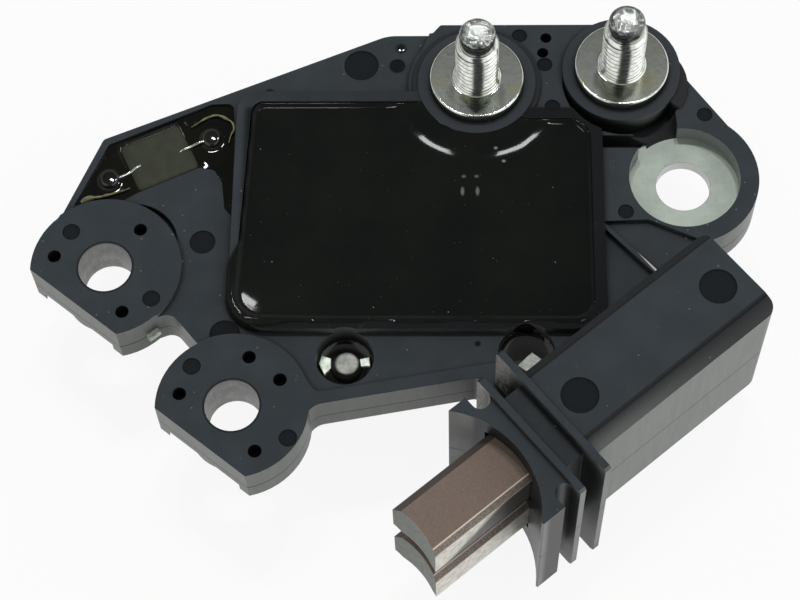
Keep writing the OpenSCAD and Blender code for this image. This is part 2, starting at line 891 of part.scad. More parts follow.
// A terminal plate closes the end of a chute, and its arm in the box's left wall meets a strip to the pool.
// The lower one's arm first runs forward, so that the two strips pass each other
module brush_terminal_shape(i) {
    z = brush_levels[i];
    arm_x = spring_seat - (i == 0 ? 0 : terminal_step);
    arm_y = chute_w / 2 + terminal_inset;
    arm_low = i == 0 ? lead_z + lead_t / 2 : z - 1.2;
    arm_high = i == 0 ? z : lead_z - 0.8;
    box_frame() translate([0, brush_shift, 0]) {
        translate([spring_seat, -chute_w / 2, z - chute_h / 2]) cube([terminal_t, chute_w, chute_h]);
        translate([spring_seat, 0, arm_low]) cube([terminal_t, arm_y + terminal_t, arm_high - arm_low]);
        translate([arm_x, arm_y, arm_low])
            cube([spring_seat - arm_x + terminal_t, terminal_t, arm_high - arm_low]);
        translate([arm_x, arm_y, arm_low]) cube([terminal_w, terminal_t, lead_z + lead_t - arm_low]);
    }
    strip(from_box(arm_x + terminal_w / 2, brush_shift + arm_y + terminal_t / 2),
        [substrate_x + substrate_w - lead_lap, substrate_y + terminal_pad_y[i]], terminal_w);
}

module upper_brush_terminal() {
    color(copper) brush_terminal_shape(0);
}

module lower_brush_terminal() {
    color(copper) brush_terminal_shape(1);
}

module brush(z) {
    w = brush_w / 2;
    h = brush_h / 2;
    c = brush_bevel;
    d = brush_right_bevel;
    sag = slip_ring_r - sqrt(pow(slip_ring_r, 2) - pow(w, 2));
    box_frame() translate([0, brush_shift, z]) difference() {
        translate([brush_tip, 0, 0]) rotate([90, 0, 90]) linear_extrude(brush_len)
            polygon([
                [-w, -h + c], [-w + c, -h], [w - c, -h], [w, -h + c],
                [w, h - c], [w - c, h], [-w + d, h], [-w, h - d]]);
        translate([brush_tip + sag - slip_ring_r, 0, -h - over])
            cylinder(r = slip_ring_r, h = brush_h + 2 * over);
    }
}

module upper_brush() {
    color(carbon) brush(brush_levels[0]);
}

module lower_brush() {
    color(carbon) brush(brush_levels[1]);
}

// One ring of points round the spring's wire, at turn t
function wire_ring(t, x, r, wire_r, rise, sides) =
    let (
        a = 360 * t,
        out = [0, cos(a), sin(a)],
        along_raw = [rise, -2 * PI * r * sin(a), 2 * PI * r * cos(a)],
        along = along_raw / norm(along_raw),
        side = cross(along, out)
    )
    [for (k = [0 : sides - 1])
        [x, 0, 0] + r * out + wire_r * (cos(360 * k / sides) * out + sin(360 * k / sides) * side)];

module spring(z) {
    sides = 6;
    steps = 12;
    wire_r = spring_wire / 2;
    r = spring_d / 2 - wire_r;
    x0 = brush_back + wire_r + seat_gap;
    x1 = spring_seat - wire_r - seat_gap;
    rise = (x1 - x0) / spring_turns;
    rings = spring_turns * steps + 1;
    pts = [for (i = [0 : rings - 1])
        each wire_ring(i / steps, x0 + rise * i / steps, r, wire_r, rise, sides)];
    skin = [for (i = [0 : rings - 2]) for (k = [0 : sides - 1])
        let (a = i * sides + k, b = i * sides + (k + 1) % sides)
        [a, a + sides, b + sides, b]];
    first = [for (k = [0 : sides - 1]) k];
    last = [for (k = [sides - 1 : -1 : 0]) (rings - 1) * sides + k];
    box_frame() translate([0, brush_shift, z])
        polyhedron(points = pts, faces = concat(skin, [first, last]));
}

module upper_spring() {
    color(steel) spring(brush_levels[0]);
}

module lower_spring() {
    color(steel) spring(brush_levels[1]);
}

module pigtail(z) {
    box_frame() translate([brush_back, brush_shift, z]) rotate([0, 90, 0])
        cylinder(d = pigtail_d, h = spring_seat - brush_back);
}

module upper_pigtail() {
    color(copper) pigtail(brush_levels[0]);
}

module lower_pigtail() {
    color(copper) pigtail(brush_levels[1]);
}

housing();
upper_ear_sleeve();
lower_ear_sleeve();
earth_ring();
left_stud();
right_stud();
left_stud_lead();
right_stud_lead();
hybrid_substrate();
regulator_chip();
potting();
capacitor();
left_capacitor_wire();
right_capacitor_wire();
left_capacitor_post();
right_capacitor_post();
left_solder_joint();
right_solder_joint();
capacitor_resin();
front_lead_strip();
rear_lead_strip();
tie_bar_stub();
upper_brush_terminal();
lower_brush_terminal();
upper_brush();
lower_brush();
upper_spring();
lower_spring();
upper_pigtail();
lower_pigtail();
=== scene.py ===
# %% [markdown]
# An alternator voltage regulator with its brush holder
#
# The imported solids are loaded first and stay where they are. Every other cell adds what they lack:
# the finish of each surface, the threads, the poured resin, the solder and the springs. Places are in
# millimetres in the part's own frame, with the lower ear's bore at the origin, and MM turns them to metres.

# %% Frame, tools and the box of the solids
from math import cos, pi, radians, sin

import bpy
import numpy as np
from mathutils import Matrix, Vector


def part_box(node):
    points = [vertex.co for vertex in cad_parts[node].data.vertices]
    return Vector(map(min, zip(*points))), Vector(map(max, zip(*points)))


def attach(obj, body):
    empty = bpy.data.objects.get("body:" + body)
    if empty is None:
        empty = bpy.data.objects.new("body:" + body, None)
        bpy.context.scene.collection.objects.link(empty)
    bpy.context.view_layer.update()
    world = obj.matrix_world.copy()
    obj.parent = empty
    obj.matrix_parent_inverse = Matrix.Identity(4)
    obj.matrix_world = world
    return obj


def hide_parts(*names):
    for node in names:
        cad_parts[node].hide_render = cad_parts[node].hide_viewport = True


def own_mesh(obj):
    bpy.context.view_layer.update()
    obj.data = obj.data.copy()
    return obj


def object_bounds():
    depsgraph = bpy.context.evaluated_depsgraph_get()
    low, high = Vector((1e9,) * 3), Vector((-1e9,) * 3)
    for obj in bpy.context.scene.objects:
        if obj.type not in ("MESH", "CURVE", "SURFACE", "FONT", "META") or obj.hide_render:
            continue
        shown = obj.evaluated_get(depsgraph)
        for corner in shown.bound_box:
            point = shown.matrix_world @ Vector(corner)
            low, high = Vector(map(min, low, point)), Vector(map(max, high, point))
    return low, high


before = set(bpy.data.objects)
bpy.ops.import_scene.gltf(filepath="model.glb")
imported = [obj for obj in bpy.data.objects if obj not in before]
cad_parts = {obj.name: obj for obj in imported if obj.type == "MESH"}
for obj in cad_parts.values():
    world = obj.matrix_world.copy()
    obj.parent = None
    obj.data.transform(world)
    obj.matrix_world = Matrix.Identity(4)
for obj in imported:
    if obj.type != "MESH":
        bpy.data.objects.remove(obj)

MM = 0.001
cad_box = [list(corner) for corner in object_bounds()]
print("solids:", len(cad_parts), "box in mm:", [[round(c / MM, 1) for c in p] for p in cad_box])


# %% [markdown]
# The camera could be moved by hand until the picture fits. But the two ear bores, the earth ring and the
# studs are circles of known size, so their ellipses in the photograph give the eye's place, its tilt and its
# zoom, which is the focal length in pixels of a picture 800 wide.

# %% Camera
EYE = Vector((24.33, -95.14, 235.3)) * MM
FORWARD = Vector((-0.0245, 0.4252, -0.9048)).normalized()
ROLL = radians(2.988)
FOCAL_PIXELS, PICTURE_WIDTH, SENSOR = 2290.9, 800, 36.0
NEAREST, FARTHEST = 0.01, 10.0

level = FORWARD.cross(Vector((0, 0, 1))).normalized()
down = FORWARD.cross(level)
right = cos(ROLL) * level + sin(ROLL) * down
up = sin(ROLL) * level - cos(ROLL) * down
turn = Matrix((right, up, -FORWARD)).transposed().to_4x4()

lens = bpy.data.cameras.new("camera")
lens.sensor_width = SENSOR
lens.lens = SENSOR * FOCAL_PIXELS / PICTURE_WIDTH
lens.clip_start, lens.clip_end = NEAREST, FARTHEST
camera = bpy.data.objects.new("camera", lens)
camera.matrix_world = Matrix.Translation(EYE) @ turn
bpy.context.scene.collection.objects.link(camera)
bpy.context.scene.camera = camera
print("camera lens", round(lens.lens, 1), "mm, eye", [round(c / MM) for c in EYE])


# %% [markdown]
# A shader is a small calculation. Written as nodes it is hard to read, so a Knob wraps one socket and lets
# Python's own signs add the Math nodes: 1 - mask is a node, and so is mask * 0.3. A Finish is one material
# with its Principled shader, and its method node makes any other kind of node.

# %% A small language for shaders
class Knob:
    """A shader socket that takes part in arithmetic. Each sign adds one Math node."""

    def __init__(self, finish, socket):
        self.finish, self.socket = finish, socket

    def __add__(self, other):
        return self.finish.math("ADD", self, other)

    def __sub__(self, other):
        return self.finish.math("SUBTRACT", self, other)

    def __rsub__(self, other):
        return self.finish.math("SUBTRACT", other, self)

    def __mul__(self, other):
        return self.finish.math("MULTIPLY", self, other)

    def __abs__(self):
        return self.finish.math("ABSOLUTE", self)

    __radd__, __rmul__ = __add__, __mul__

    def step(self, low, high):
        """0 below low, 1 above high, and a smooth ramp between them. With low above high it falls."""
        sockets = {"Value": self, "From Min": min(low, high), "From Max": max(low, high)}
        out = self.finish.node("ShaderNodeMapRange", {"interpolation_type": "SMOOTHSTEP"}, sockets)["Result"]
        return out if low < high else 1 - out

    def near(self, value, reach):
        """1 where the number is value, 0 beyond reach on both sides."""
        return abs(self - value).step(reach, reach * 0.6)


class Finish:
    """One material. It starts with a Principled shader whose plain values are set by socket name."""

    def __init__(self, name, plain, tree=None):
        if tree is None:
            self.material = bpy.data.materials.new(name)
            self.material.use_nodes = True
            tree = self.material.node_tree
            self.shader = tree.nodes["Principled BSDF"]
            for socket, value in plain.items():
                self.shader.inputs[socket].default_value = value
        self.tree = tree
        self._mm = None

    def node(self, kind, settings, sockets):
        """Adds a node, makes its settings, then sets or links its sockets. Returns its outputs by name."""
        made = self.tree.nodes.new(kind)
        for name, value in settings.items():
            setattr(made, name, value)
        for name, value in sockets.items():
            self.plug(value, made.inputs[name])
        return {s.name: Knob(self, s) for s in made.outputs if s.enabled}

    def plug(self, value, socket):
        """Links a Knob to a socket, or writes a plain value there."""
        if isinstance(value, Knob):
            self.tree.links.new(value.socket, socket)
        else:
            socket.default_value = value

    def feed(self, **sockets):
        """Feeds the shader's own sockets, with _ for a space in their names."""
        for name, value in sockets.items():
            self.plug(value, self.shader.inputs[name.replace("_", " ")])
        return self

    def math(self, operation, a, b=0.0):
        """One Math node on two numbers or sockets."""
        return self.node("ShaderNodeMath", {"operation": operation}, {0: a, 1: b})["Value"]

    def vector(self, operation, a, b, result="Vector"):
        """One Vector Math node on two vectors."""
        return self.node("ShaderNodeVectorMath", {"operation": operation}, {0: a, 1: b})[result]

    def place(self):
        """Object coordinates in millimetres, so that every scale below is per millimetre."""
        if self._mm is None:
            at = self.node("ShaderNodeTexCoord", {}, {})["Object"]
            self._mm = self.vector("MULTIPLY", at, (1 / MM, 1 / MM, 1 / MM))
        return self._mm

    def along(self, direction, vector=None):
        """How far the place, or another vector, reaches along a direction."""
        return self.vector("DOT_PRODUCT", vector or self.place(), direction, "Value")

    def facing(self, direction=(0, 0, 1)):
        """1 on a face that looks in the direction, 0 on one beside it, -1 on one that looks away."""
        return self.along(direction, self.node("ShaderNodeNewGeometry", {}, {})["Normal"])

    def shelter(self, reach):
        """0 in the open, up to 1 where other surfaces stand close, within reach millimetres."""
        return 1 - self.node("ShaderNodeAmbientOcclusion", {"samples": 8}, {"Distance": reach * MM})["AO"]

    def stretched(self, scale):
        """The place, stretched by a scale of its own for each axis."""
        return self.node("ShaderNodeMapping", {}, {"Vector": self.place(), "Scale": scale})["Vector"]

    def noise(self, scale, detail=4.0, rough=0.5, warp=0.0, at=None):
        """Cloudy noise from 0 to 1, with scale clouds to a millimetre."""
        return self.node("ShaderNodeTexNoise", {}, {
            "Vector": at or self.place(), "Scale": scale, "Detail": detail, "Roughness": rough,
            "Distortion": warp})["Fac"]

    def specks(self, scale, size, share):
        """Round specks at a share of a cloud of points, with scale points to a millimetre."""
        cell = self.node("ShaderNodeTexVoronoi", {}, {"Vector": self.place(), "Scale": scale})
        number = self.node("ShaderNodeSeparateColor", {}, {"Color": cell["Color"]})["Red"]
        return cell["Distance"].step(size, size * 0.6) * number.step(share * 1.02, share * 0.98)

    def away(self, x, y, wide=1.0, high=1.0):
        """The distance from the upright line at x, y, in shares of a width and a height."""
        off = self.vector("SUBTRACT", self.place(), (x, y, 0))
        flat = self.vector("MULTIPLY", off, (1 / wide, 1 / high, 0))
        return self.vector("LENGTH", flat, (0, 0, 0), "Value")

    def spot(self, x, y, wide, high):
        """A soft oval around the place x, y, seen from above."""
        return self.away(x, y, wide, high).step(1.0, 0.3)

    def blend(self, amount, a, b):
        """Colour a where amount is 0, colour b where it is 1. A plain colour is three numbers to 255.

        Sockets 6 and 7 of a Mix node are its two colours."""
        a, b = [rgb(*colour) if isinstance(colour, tuple) else colour for colour in (a, b)]
        return self.node("ShaderNodeMix", {"data_type": "RGBA"}, {0: amount, 6: a, 7: b})["Result"]

    def paint(self, colour, *layers):
        """Lays colours over a colour, one after the other, each where its own mask is 1."""
        for mask, above in layers:
            colour = self.blend(mask, colour, above)
        return colour

    def bump(self, height, strength, depth=0.05, normal=None):
        """A normal that leans as if the surface stood depth millimetres proud where height is 1."""
        sockets = {"Height": height, "Strength": strength, "Distance": depth * MM}
        if normal is not None:
            sockets["Normal"] = normal
        return self.node("ShaderNodeBump", {}, sockets)["Normal"]

    def round_edges(self, radius):
        """A normal that turns smoothly round each sharp edge, over radius millimetres."""
        return self.node("ShaderNodeBevel", {"samples": 6}, {"Radius": radius * MM})["Normal"]


def rgb(red, green, blue):
    """A colour as picked from a screen, 0 to 255, turned to the linear values that a shader takes."""
    c = np.array([red, green, blue]) / 255
    c = np.where(c <= 0.04045, c / 12.92, ((c + 0.055) / 1.055) ** 2.4)
    return (*c.tolist(), 1.0)


print("shader language ready")


# %% [markdown]
# The housing is a dark, glass filled plastic with a blue cast. Its flat faces carry the fine grain of the
# mould, while its walls are drawn along the steel as the part comes out, and so they are smoother and shine at
# a low angle. Their pale colour is a painted reflection of the white floor. Corners that other walls stand
# close to get painted shade. A thin dark line round the walls is where the two halves of the mould meet, and
# the round marks of the ejectors are darker too. One material asks for the height, direction and shelter of
# each place, so no face is picked by hand.

# %% Moulded plastic
PARTING_Z, PARTING_HALF = 2.5, 0.15
EJECTOR_LEVELS, EJECTOR_REACH = (5.88, 5.28, 12.88), 0.05
POOL_WALL_Z, BOSS_Z, LEDGE_Z, RIB_Z, LEVEL_REACH = 6.5, 6.6, 6.3, 6.2, 0.06
POOL_LEFT, POOL_TOP = (-0.4, 0.6), (36.6, 37.2)
BOX_ANGLE = radians(40)
ALONG_BOX = (cos(BOX_ANGLE), sin(BOX_ANGLE), 0)
ACROSS_BOX = (-sin(BOX_ANGLE), cos(BOX_ANGLE), 0)
PIT_AT, MARK_AT = (26.7, 7.6), (17.5, 43.0)
RECESS_AT, RECESS_R, BORE_R = (50.2, 28.0), 6.3, 3.0
EARS, STUDS = ("upper_ear_sleeve", "lower_ear_sleeve"), ("left_stud", "right_stud")
ACROSS_RIB, RIB_AT = (0.779, 0.627, 0), 46.36
BOX_BEVEL, BOX_RUN, FIN_ENDS, FINS = (-29.0, -31.2), (46.0, 24.0), (-17.2, 1.6), (22.3, 3.6)
SADDLE, SADDLE_SIDE, SADDLE_TOP = (17.8, 2.4), (-19.6, -20.4), (12.99, 12.8)


def middle(node):
    """The middle of a solid's box seen from above, in millimetres."""
    low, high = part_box(node)
    return [(low[i] + high[i]) / 2 / MM for i in (0, 1)]


def top_colour(f, up, z, across, along):
    """The flat faces: two near blacks in clouds, then the colour of each level and mark. The pool wall's top
    is painted darker as a reflection, the rib's top edge gets a painted highlight, sloped faces get painted
    shade and, on the box's right side, painted light, and two pits get painted shade.

    Gives the colour, and where the surface is duller than the rest."""
    base = f.blend(f.noise(0.25, 3).step(0.35, 0.7), (38, 45, 50), (44, 51, 56))
    marks = sum(z.near(level, EJECTOR_REACH) for level in EJECTOR_LEVELS)
    # Painted reflection: the pool wall's top is painted darker, as it mirrors the dim sky.
    rim = z.near(POOL_WALL_Z, LEVEL_REACH) * f.along((1, 0, 0)).step(*POOL_LEFT)
    rim = rim * (1 - f.along((0, 1, 0)).step(*POOL_TOP) * 0.75)
    boss, ledge = z.near(BOSS_Z, LEVEL_REACH), z.near(LEDGE_Z, LEVEL_REACH)
    # A painted highlight along the top edge of the rib.
    ridge_highlight = z.near(RIB_Z, 0.04) * f.along(ACROSS_RIB).near(RIB_AT, 0.16)
    # Sloped faces are painted darker as shade; on the box's right side they are painted lighter towards its
    # front end, as light falling on them.
    bevel = up.step(0.6, 0.65) * up.step(0.995, 0.975)
    bevel_light = across.step(*BOX_BEVEL) * (0.25 + along.step(*BOX_RUN) * 0.75)
    # Two small pits are painted near black, as the shade inside them.
    pit = (f.spot(*PIT_AT, 0.5, 0.5) + f.spot(*MARK_AT, 1.25, 1.25) * 0.7) * up.step(0.9, 0.95)
    bores = sum(f.away(*middle(ear)).near(BORE_R + 0.1, 0.16) for ear in EARS)
    top = f.paint(
        base, (marks, (21, 25, 28)), (rim, (18, 20, 22)), (boss, (42, 48, 53)), (ledge, (24, 28, 31)),
        (ridge_highlight, (196, 196, 188)), (bevel, f.blend(bevel_light, (22, 25, 28), (92, 94, 92))),
        (pit + bores, (12, 13, 14)))
    return top, marks + pit + rim


def wall_colour(f, z, across, along, hidden_shade):
    """The drawn walls: upright streaks in a pale colour that is a painted reflection, the dark parting line,
    painted shade where walls are sheltered and on the saddle's inner wall, painted light on the earth ring's
    recess wall, and rubbed fins.
    """
    # The walls' pale colour is a painted reflection of the white floor; the streaks run up and down.
    streak = f.noise(1.2, 4, 0.6, at=f.stretched((1, 1, 0.15)))
    # Painted light: a paler band on the wall of the earth ring's recess.
    recess = f.away(*RECESS_AT).near(RECESS_R, 0.3)
    rubbed = across.near(*FIN_ENDS) * along.near(*FINS) * f.noise(1.6, 6, 0.7).step(0.42, 0.6)
    # Painted shade on the saddle's inner wall next to the brush.
    inner = along.near(*SADDLE) * across.step(*SADDLE_SIDE) * z.step(*SADDLE_TOP)
    return f.paint(
        f.blend(streak, (92, 96, 94), (124, 128, 123)), (z.near(PARTING_Z, PARTING_HALF), (20, 21, 21)),
        (hidden_shade, (28, 30, 31)), (recess, (128, 134, 130)), (rubbed * 0.8, (142, 134, 124)),
        (inner, (22, 24, 25)))


def moulded_plastic():
    """The tops' colour where a face looks up or down, the walls' where it stands, painted shade in corners and
    sheltered places, and dust on the tops.
    """
    f = Finish("moulded_plastic", {"IOR": 1.5, "Specular IOR Level": 0.24})
    up, z = f.facing(), f.along((0, 0, 1))
    across, along = f.along(ACROSS_BOX), f.along(ALONG_BOX)
    wall = abs(up).step(0.75, 0.3)
    # Painted shade: occlusion darkens the tops near walls, and the walls in sheltered places.
    nook_shade, hidden_shade = f.shelter(0.8).step(0.06, 0.42), f.shelter(4.5).step(0.08, 0.62)
    top, dull = top_colour(f, up, z, across, along)
    top = f.blend(nook_shade * 0.75 + hidden_shade * 0.3, top, (14, 16, 18))
    colour = f.blend(wall, top, wall_colour(f, z, across, along, hidden_shade))
    dust = (f.specks(0.9, 0.1, 0.32) + f.specks(2.2, 0.12, 0.12) * 0.5) * (1 - wall)
    scuff = f.noise(0.9, 6, 0.7).step(0.60, 0.74)
    colour = f.blend(dust * 0.5 + scuff * 0.05, colour, (128, 136, 138))
    grain = f.noise(9, 5, 0.65)
    rough = 0.58 + grain * 0.14 - wall * 0.26 + scuff * 0.04 + dull * (1 - wall) * 0.34
    normal = f.bump(grain, 0.3, 0.03, f.round_edges(0.12))
    return f.feed(Base_Color=colour, Roughness=rough, Normal=normal)


plastic = moulded_plastic()
print("plastic:", len(plastic.tree.nodes), "nodes")


# %% [markdown]
# The metals: bright zinc on the studs, a pale grey-green plating with fine dark pits on the earth ring, plain
# drawn steel in the ear sleeves, tinned strips in the wells and copper for what the plastic hides. A picture
# of plating would show its edges. Noise has none, so each metal varies in clouds, as plating does.

# %% Metals
STUD_END_Z, STUD_END_HEART = (16.4, 17.0), (1.6, 0.2)


def zinc_plate():
    """Bright plating: greys in clouds, spots of a yellow and a blue passivation, fine pits.

    The ends show crystals, and each end face is painted darker towards its rim, as shade of its rounded edge."""
    f = Finish("stud_zinc", {"Metallic": 1.0})
    cloud = f.noise(0.9, 5, 0.6, warp=0.6)
    yellow = f.noise(0.45, 4, 0.6).step(0.50, 0.64)
    blue = f.noise(1.3, 4, 0.6, at=f.stretched((1.1, 0.9, 1))).step(0.58, 0.70)
    pits = f.noise(5, 5, 0.75).step(0.55, 0.72)
    flat = f.facing().step(0.9, 0.97)
    colour = f.blend(cloud.step(0.35, 0.65), (206, 209, 205), (176, 180, 170))
    stained = f.paint(
        colour, (yellow * 0.55, (196, 194, 140)), (blue * 0.5, (120, 134, 158)),
        (pits * 0.45, (96, 98, 90)), (0.34, (104, 110, 104)))
    colour = f.blend(flat, f.blend(pits * 0.2, colour, (90, 92, 90)), stained)
    end = f.along((0, 0, 1)).step(*STUD_END_Z)
    crystals = f.noise(0.8, 5, 0.7, warp=2.5).step(0.42, 0.56)
    # Painted shade: away from the middle of each stud's end, the face is painted darker towards its rounded
    # rim.
    heart = sum(f.away(*middle(stud)).step(*STUD_END_HEART) for stud in STUDS)
    dull = crystals * 0.7 + (1 - heart) * 0.55
    colour = f.blend(end, colour, f.blend(dull, (212, 215, 212), (92, 95, 93)))
    rough = 0.13 + cloud * 0.05 + pits * 0.05 + end * 0.04
    dents = f.noise(1.8, 5, 0.7, warp=0.5) * (0.1 + flat * 0.12 + end * 4)
    return f.feed(Base_Color=colour, Roughness=rough, Normal=f.bump(dents, 0.3, 0.08))


def plated_ring():
    """Dull plating in clouds with dark pits. The wall of its hole is painted near white, as light falling on
    it.
    """
    f = Finish("plated_ring", {"Metallic": 0.35, "Specular IOR Level": 0.6})
    cloud = f.noise(0.16, 4, 0.6).step(0.3, 0.7)
    specks = f.specks(1.6, 0.17, 0.25) + f.noise(6, 4, 0.7).step(0.62, 0.72) * 0.5
    colour = f.blend(cloud, (142, 151, 143), (164, 173, 163))
    colour = f.blend(specks * 0.55, colour, (104, 112, 106))
    # Painted light on the wall of the hole.
    bore = abs(f.facing()).step(0.7, 0.3)
    colour = f.blend(bore, colour, (236, 238, 234))
    rough = 0.42 + f.noise(3, 3) * 0.2
    normal = f.bump(f.noise(6, 5, 0.7), 0.25, 0.03, f.round_edges(0.16))
    return f.feed(Base_Color=colour, Roughness=rough, Normal=normal)


def drawn_steel(name, pale, dark):
    """Steel drawn along Z: streaks that run along the bore."""
    f = Finish(name, {"Metallic": 0.6})
    streak = f.noise(2.5, 5, 0.6, at=f.stretched((1, 1, 0.12)))
    stain = f.noise(0.6, 4, 0.6) * 0.6 + streak * 0.4
    colour = f.blend(stain.step(0.3, 0.7), dark, pale)
    rough = 0.38 + streak * 0.2
    return f.feed(Base_Color=colour, Roughness=rough, Normal=f.bump(streak, 0.15, 0.03))


def leaf_metal(name, pale, dark, metallic=0.8):
    """Rolled strip: fine lines along X, soft stains and a brighter sheared edge."""
    f = Finish(name, {"Metallic": metallic})
    lines = f.noise(4, 5, 0.6, at=f.stretched((0.2, 1, 1)))
    stain = f.noise(1.4, 5, 0.65)
    colour = f.blend(stain.step(0.35, 0.7), pale, dark)
    rough = 0.34 + lines * 0.25
    normal = f.bump(lines, 0.2, 0.02, f.round_edges(0.1))
    return f.feed(Base_Color=colour, Roughness=rough, Normal=normal)


bright_zinc = zinc_plate()
ring_plate = plated_ring()
sleeve_steel = drawn_steel("sleeve_steel", (156, 157, 154), (116, 118, 116))
tinned = leaf_metal("tinned_strip", (214, 222, 210), (168, 178, 164), 0.45)
sheared = leaf_metal("sheared_metal", (150, 152, 145), (112, 114, 108), 0.3)
copper = leaf_metal("copper_strip", (196, 132, 96), (150, 92, 64))
spring_wire = drawn_steel("spring_wire", (176, 178, 176), (110, 112, 112))
print("metals:", bright_zinc.material.name, ring_plate.material.name, tinned.material.name)


# %% [markdown]
# What is not metal: the brushes of pressed carbon and copper powder, the poured resins, the dipped body of
# the capacitor, the white ceramic of the hybrid circuit and the black case of its chip. The resin is almost
# black and very smooth, so its look is its reflections, with dust and small bubbles in its skin, and on the
# pool a few painted glints. A brush is brown where its skin is as pressed, bright on its ground sides, partly
# from painted light, and duller on its bevels and running end, with painted shade on its left bevels. Its
# finish slides with it, because Object coordinates are fixed to the piece.

# %% Carbon, resins and ceramics
BRUSH_RIGHT_EDGE, BRUSH_RIGHT_BEVEL, BRUSH_LEFT_BEVEL = -28.4, 0.65, (-26.0, -25.0)
SHADE_DEPTH, UPPER_BRUSH_Z = (-2.4, 0.4), (2.7, 2.9)


def brush_carbon():
    """Brown top, sides pale from polish and partly from painted light, speckled bevels with painted shade on
    the left ones and painted highlights along the right edges. The upper brush's side has painted shade
    towards the box.
    """
    f = Finish("brush_carbon", {"Specular IOR Level": 0.5})
    up = f.facing()
    top, chamfer = up.step(0.85, 0.95), up.step(0.3, 0.6)
    side = abs(f.facing(ACROSS_BOX)).step(0.88, 0.96)
    bevel = (1 - top) * chamfer
    across, z = f.along(ACROSS_BOX), f.along((0, 0, 1))
    grit = f.noise(6, 6, 0.75)
    blotch = f.noise(1.2, 4, 0.6)
    brown = f.blend(grit.step(0.3, 0.7), (92, 78, 69), (122, 105, 94))
    brown = f.blend(blotch.step(0.4, 0.75) * 0.5, brown, (122, 100, 84))
    lines = f.noise(2.2, 4, 0.6, at=f.stretched((1, 1, 0.5)))
    end = f.blend(lines, (84, 88, 84), (142, 146, 138))
    # The ground sides' pale colour is partly their own polish and partly painted light.
    ground = f.blend(blotch.step(0.3, 0.7), (232, 229, 219), (196, 193, 182))
    # Painted shade on the upper brush's side, growing towards the box.
    depth = f.along(ALONG_BOX) - z * 1.6
    shade = depth.step(*SHADE_DEPTH) * z.step(*UPPER_BRUSH_Z)
    ground = f.blend(shade * 0.9, ground, (52, 47, 45))
    speckled = f.blend(grit.step(0.4, 0.62), (96, 86, 80), (150, 139, 130))
    # Painted shade on the brushes' left bevels.
    shaded_bevel = f.blend(grit, (58, 50, 47), (78, 68, 63))
    speckled = f.blend(across.step(*BRUSH_LEFT_BEVEL), speckled, shaded_bevel)
    colour = f.blend(bevel, f.blend(side, end, ground), speckled)
    colour = f.blend(top, colour, brown)
    # Painted highlights along the edges of the right bevels.
    edge_highlights = across.near(BRUSH_RIGHT_EDGE + BRUSH_RIGHT_BEVEL, 0.09)
    edge_highlights = edge_highlights + across.near(BRUSH_RIGHT_EDGE, 0.06) * 0.5
    colour = f.blend(edge_highlights * chamfer, colour, (214, 200, 186))
    pores = f.specks(3.5, 0.2, 0.25)
    colour = f.blend(pores * 0.4 * top, colour, (60, 52, 48))
    rough, normal = 0.5 + grit * 0.3 - side * 0.22, f.bump(grit, 0.4, 0.05)
    return f.feed(Base_Color=colour, Metallic=side * 0.55, Roughness=rough, Normal=normal)


def poured_resin(name, dark, pale, dust_share, shine, marks=()):
    """Black resin with dust in its skin. Each mark is a painted glint, a pale oval: x, y, width, height,
    strength.
    """
    f = Finish(name, {"IOR": 1.5, "Specular IOR Level": shine})
    colour = f.blend(f.noise(0.12, 4, 0.6).step(0.3, 0.7), dark, pale)
    dust = f.specks(0.6, 0.045, dust_share) * 0.7 + f.specks(1.7, 0.1, dust_share * 0.6) * 0.22
    # The marks are painted glints. They are added to the dust mask, so that mask carries both real dust and
    # painted glints.
    for x, y, wide, high, strength in marks:
        dust = dust + f.spot(x, y, wide, high) * strength
    colour = f.blend(dust, colour, (160, 162, 150))
    smear = f.noise(0.35, 6, 0.65, warp=0.8).step(0.55, 0.85)
    rough = 0.05 + smear * 0.06 + dust * 0.3
    height = f.noise(0.22, 2) + dust * 0.05
    return f.feed(Base_Color=colour, Roughness=rough, Normal=f.bump(height, 0.06, 0.3))


def matt_case(name, one, other, grain_scale=5.0, shine=0.3):
    """A dull pressed or dipped case: two near colours in clouds and a fine grain."""
    f = Finish(name, {"Specular IOR Level": shine})
    grain = f.noise(grain_scale, 5, 0.6)
    colour = f.blend(f.noise(0.7, 4, 0.6).step(0.3, 0.7), one, other)
    normal = f.bump(grain, 0.25, 0.04, f.round_edges(0.2))
    return f.feed(Base_Color=colour, Roughness=0.45 + grain * 0.25, Normal=normal)


# Painted glints on the pool's resin: x, y, width, height, strength.
POOL_GLINTS = (
    (25.05, 26.2, 0.3, 0.75, 0.35), (26.75, 26.2, 0.3, 0.75, 0.35), (25.2, 28.1, 0.35, 0.28, 0.25),
    (26.65, 28.1, 0.35, 0.28, 0.25), (28.84, 31.68, 0.3, 0.25, 0.5), (29.75, 30.08, 0.32, 0.25, 0.5))
carbon = brush_carbon()
pool_resin = poured_resin("pool_resin", (21, 24, 22), (26, 28, 26), 0.3, 0.05, POOL_GLINTS)
bay_resin = poured_resin("bay_resin", (11, 12, 10), (20, 20, 15), 0.2, 0.3)
glue = matt_case("glue", (52, 54, 30), (122, 122, 76), 3.0, 0.7)
capacitor_case = matt_case("capacitor_case", (43, 47, 36), (52, 55, 41), 5.0, 0.2)
glue_skin = matt_case("glue_skin", (28, 30, 24), (40, 42, 32), 3.0, 0.5)
coated_solder = poured_resin("coated_solder", (16, 17, 17), (34, 34, 31), 0.2, 0.45)
ceramic = matt_case("ceramic", (224, 222, 214), (240, 238, 230))
chip_case = matt_case("chip_case", (34, 34, 36), (44, 44, 46))
print("carbon, resins and cases ready")


# %% [markdown]
# Each carried solid gets its finish by the name of its node, from one table. A name that isn't in it stops
# the script, so none is forgotten. The meshes are left as they are.

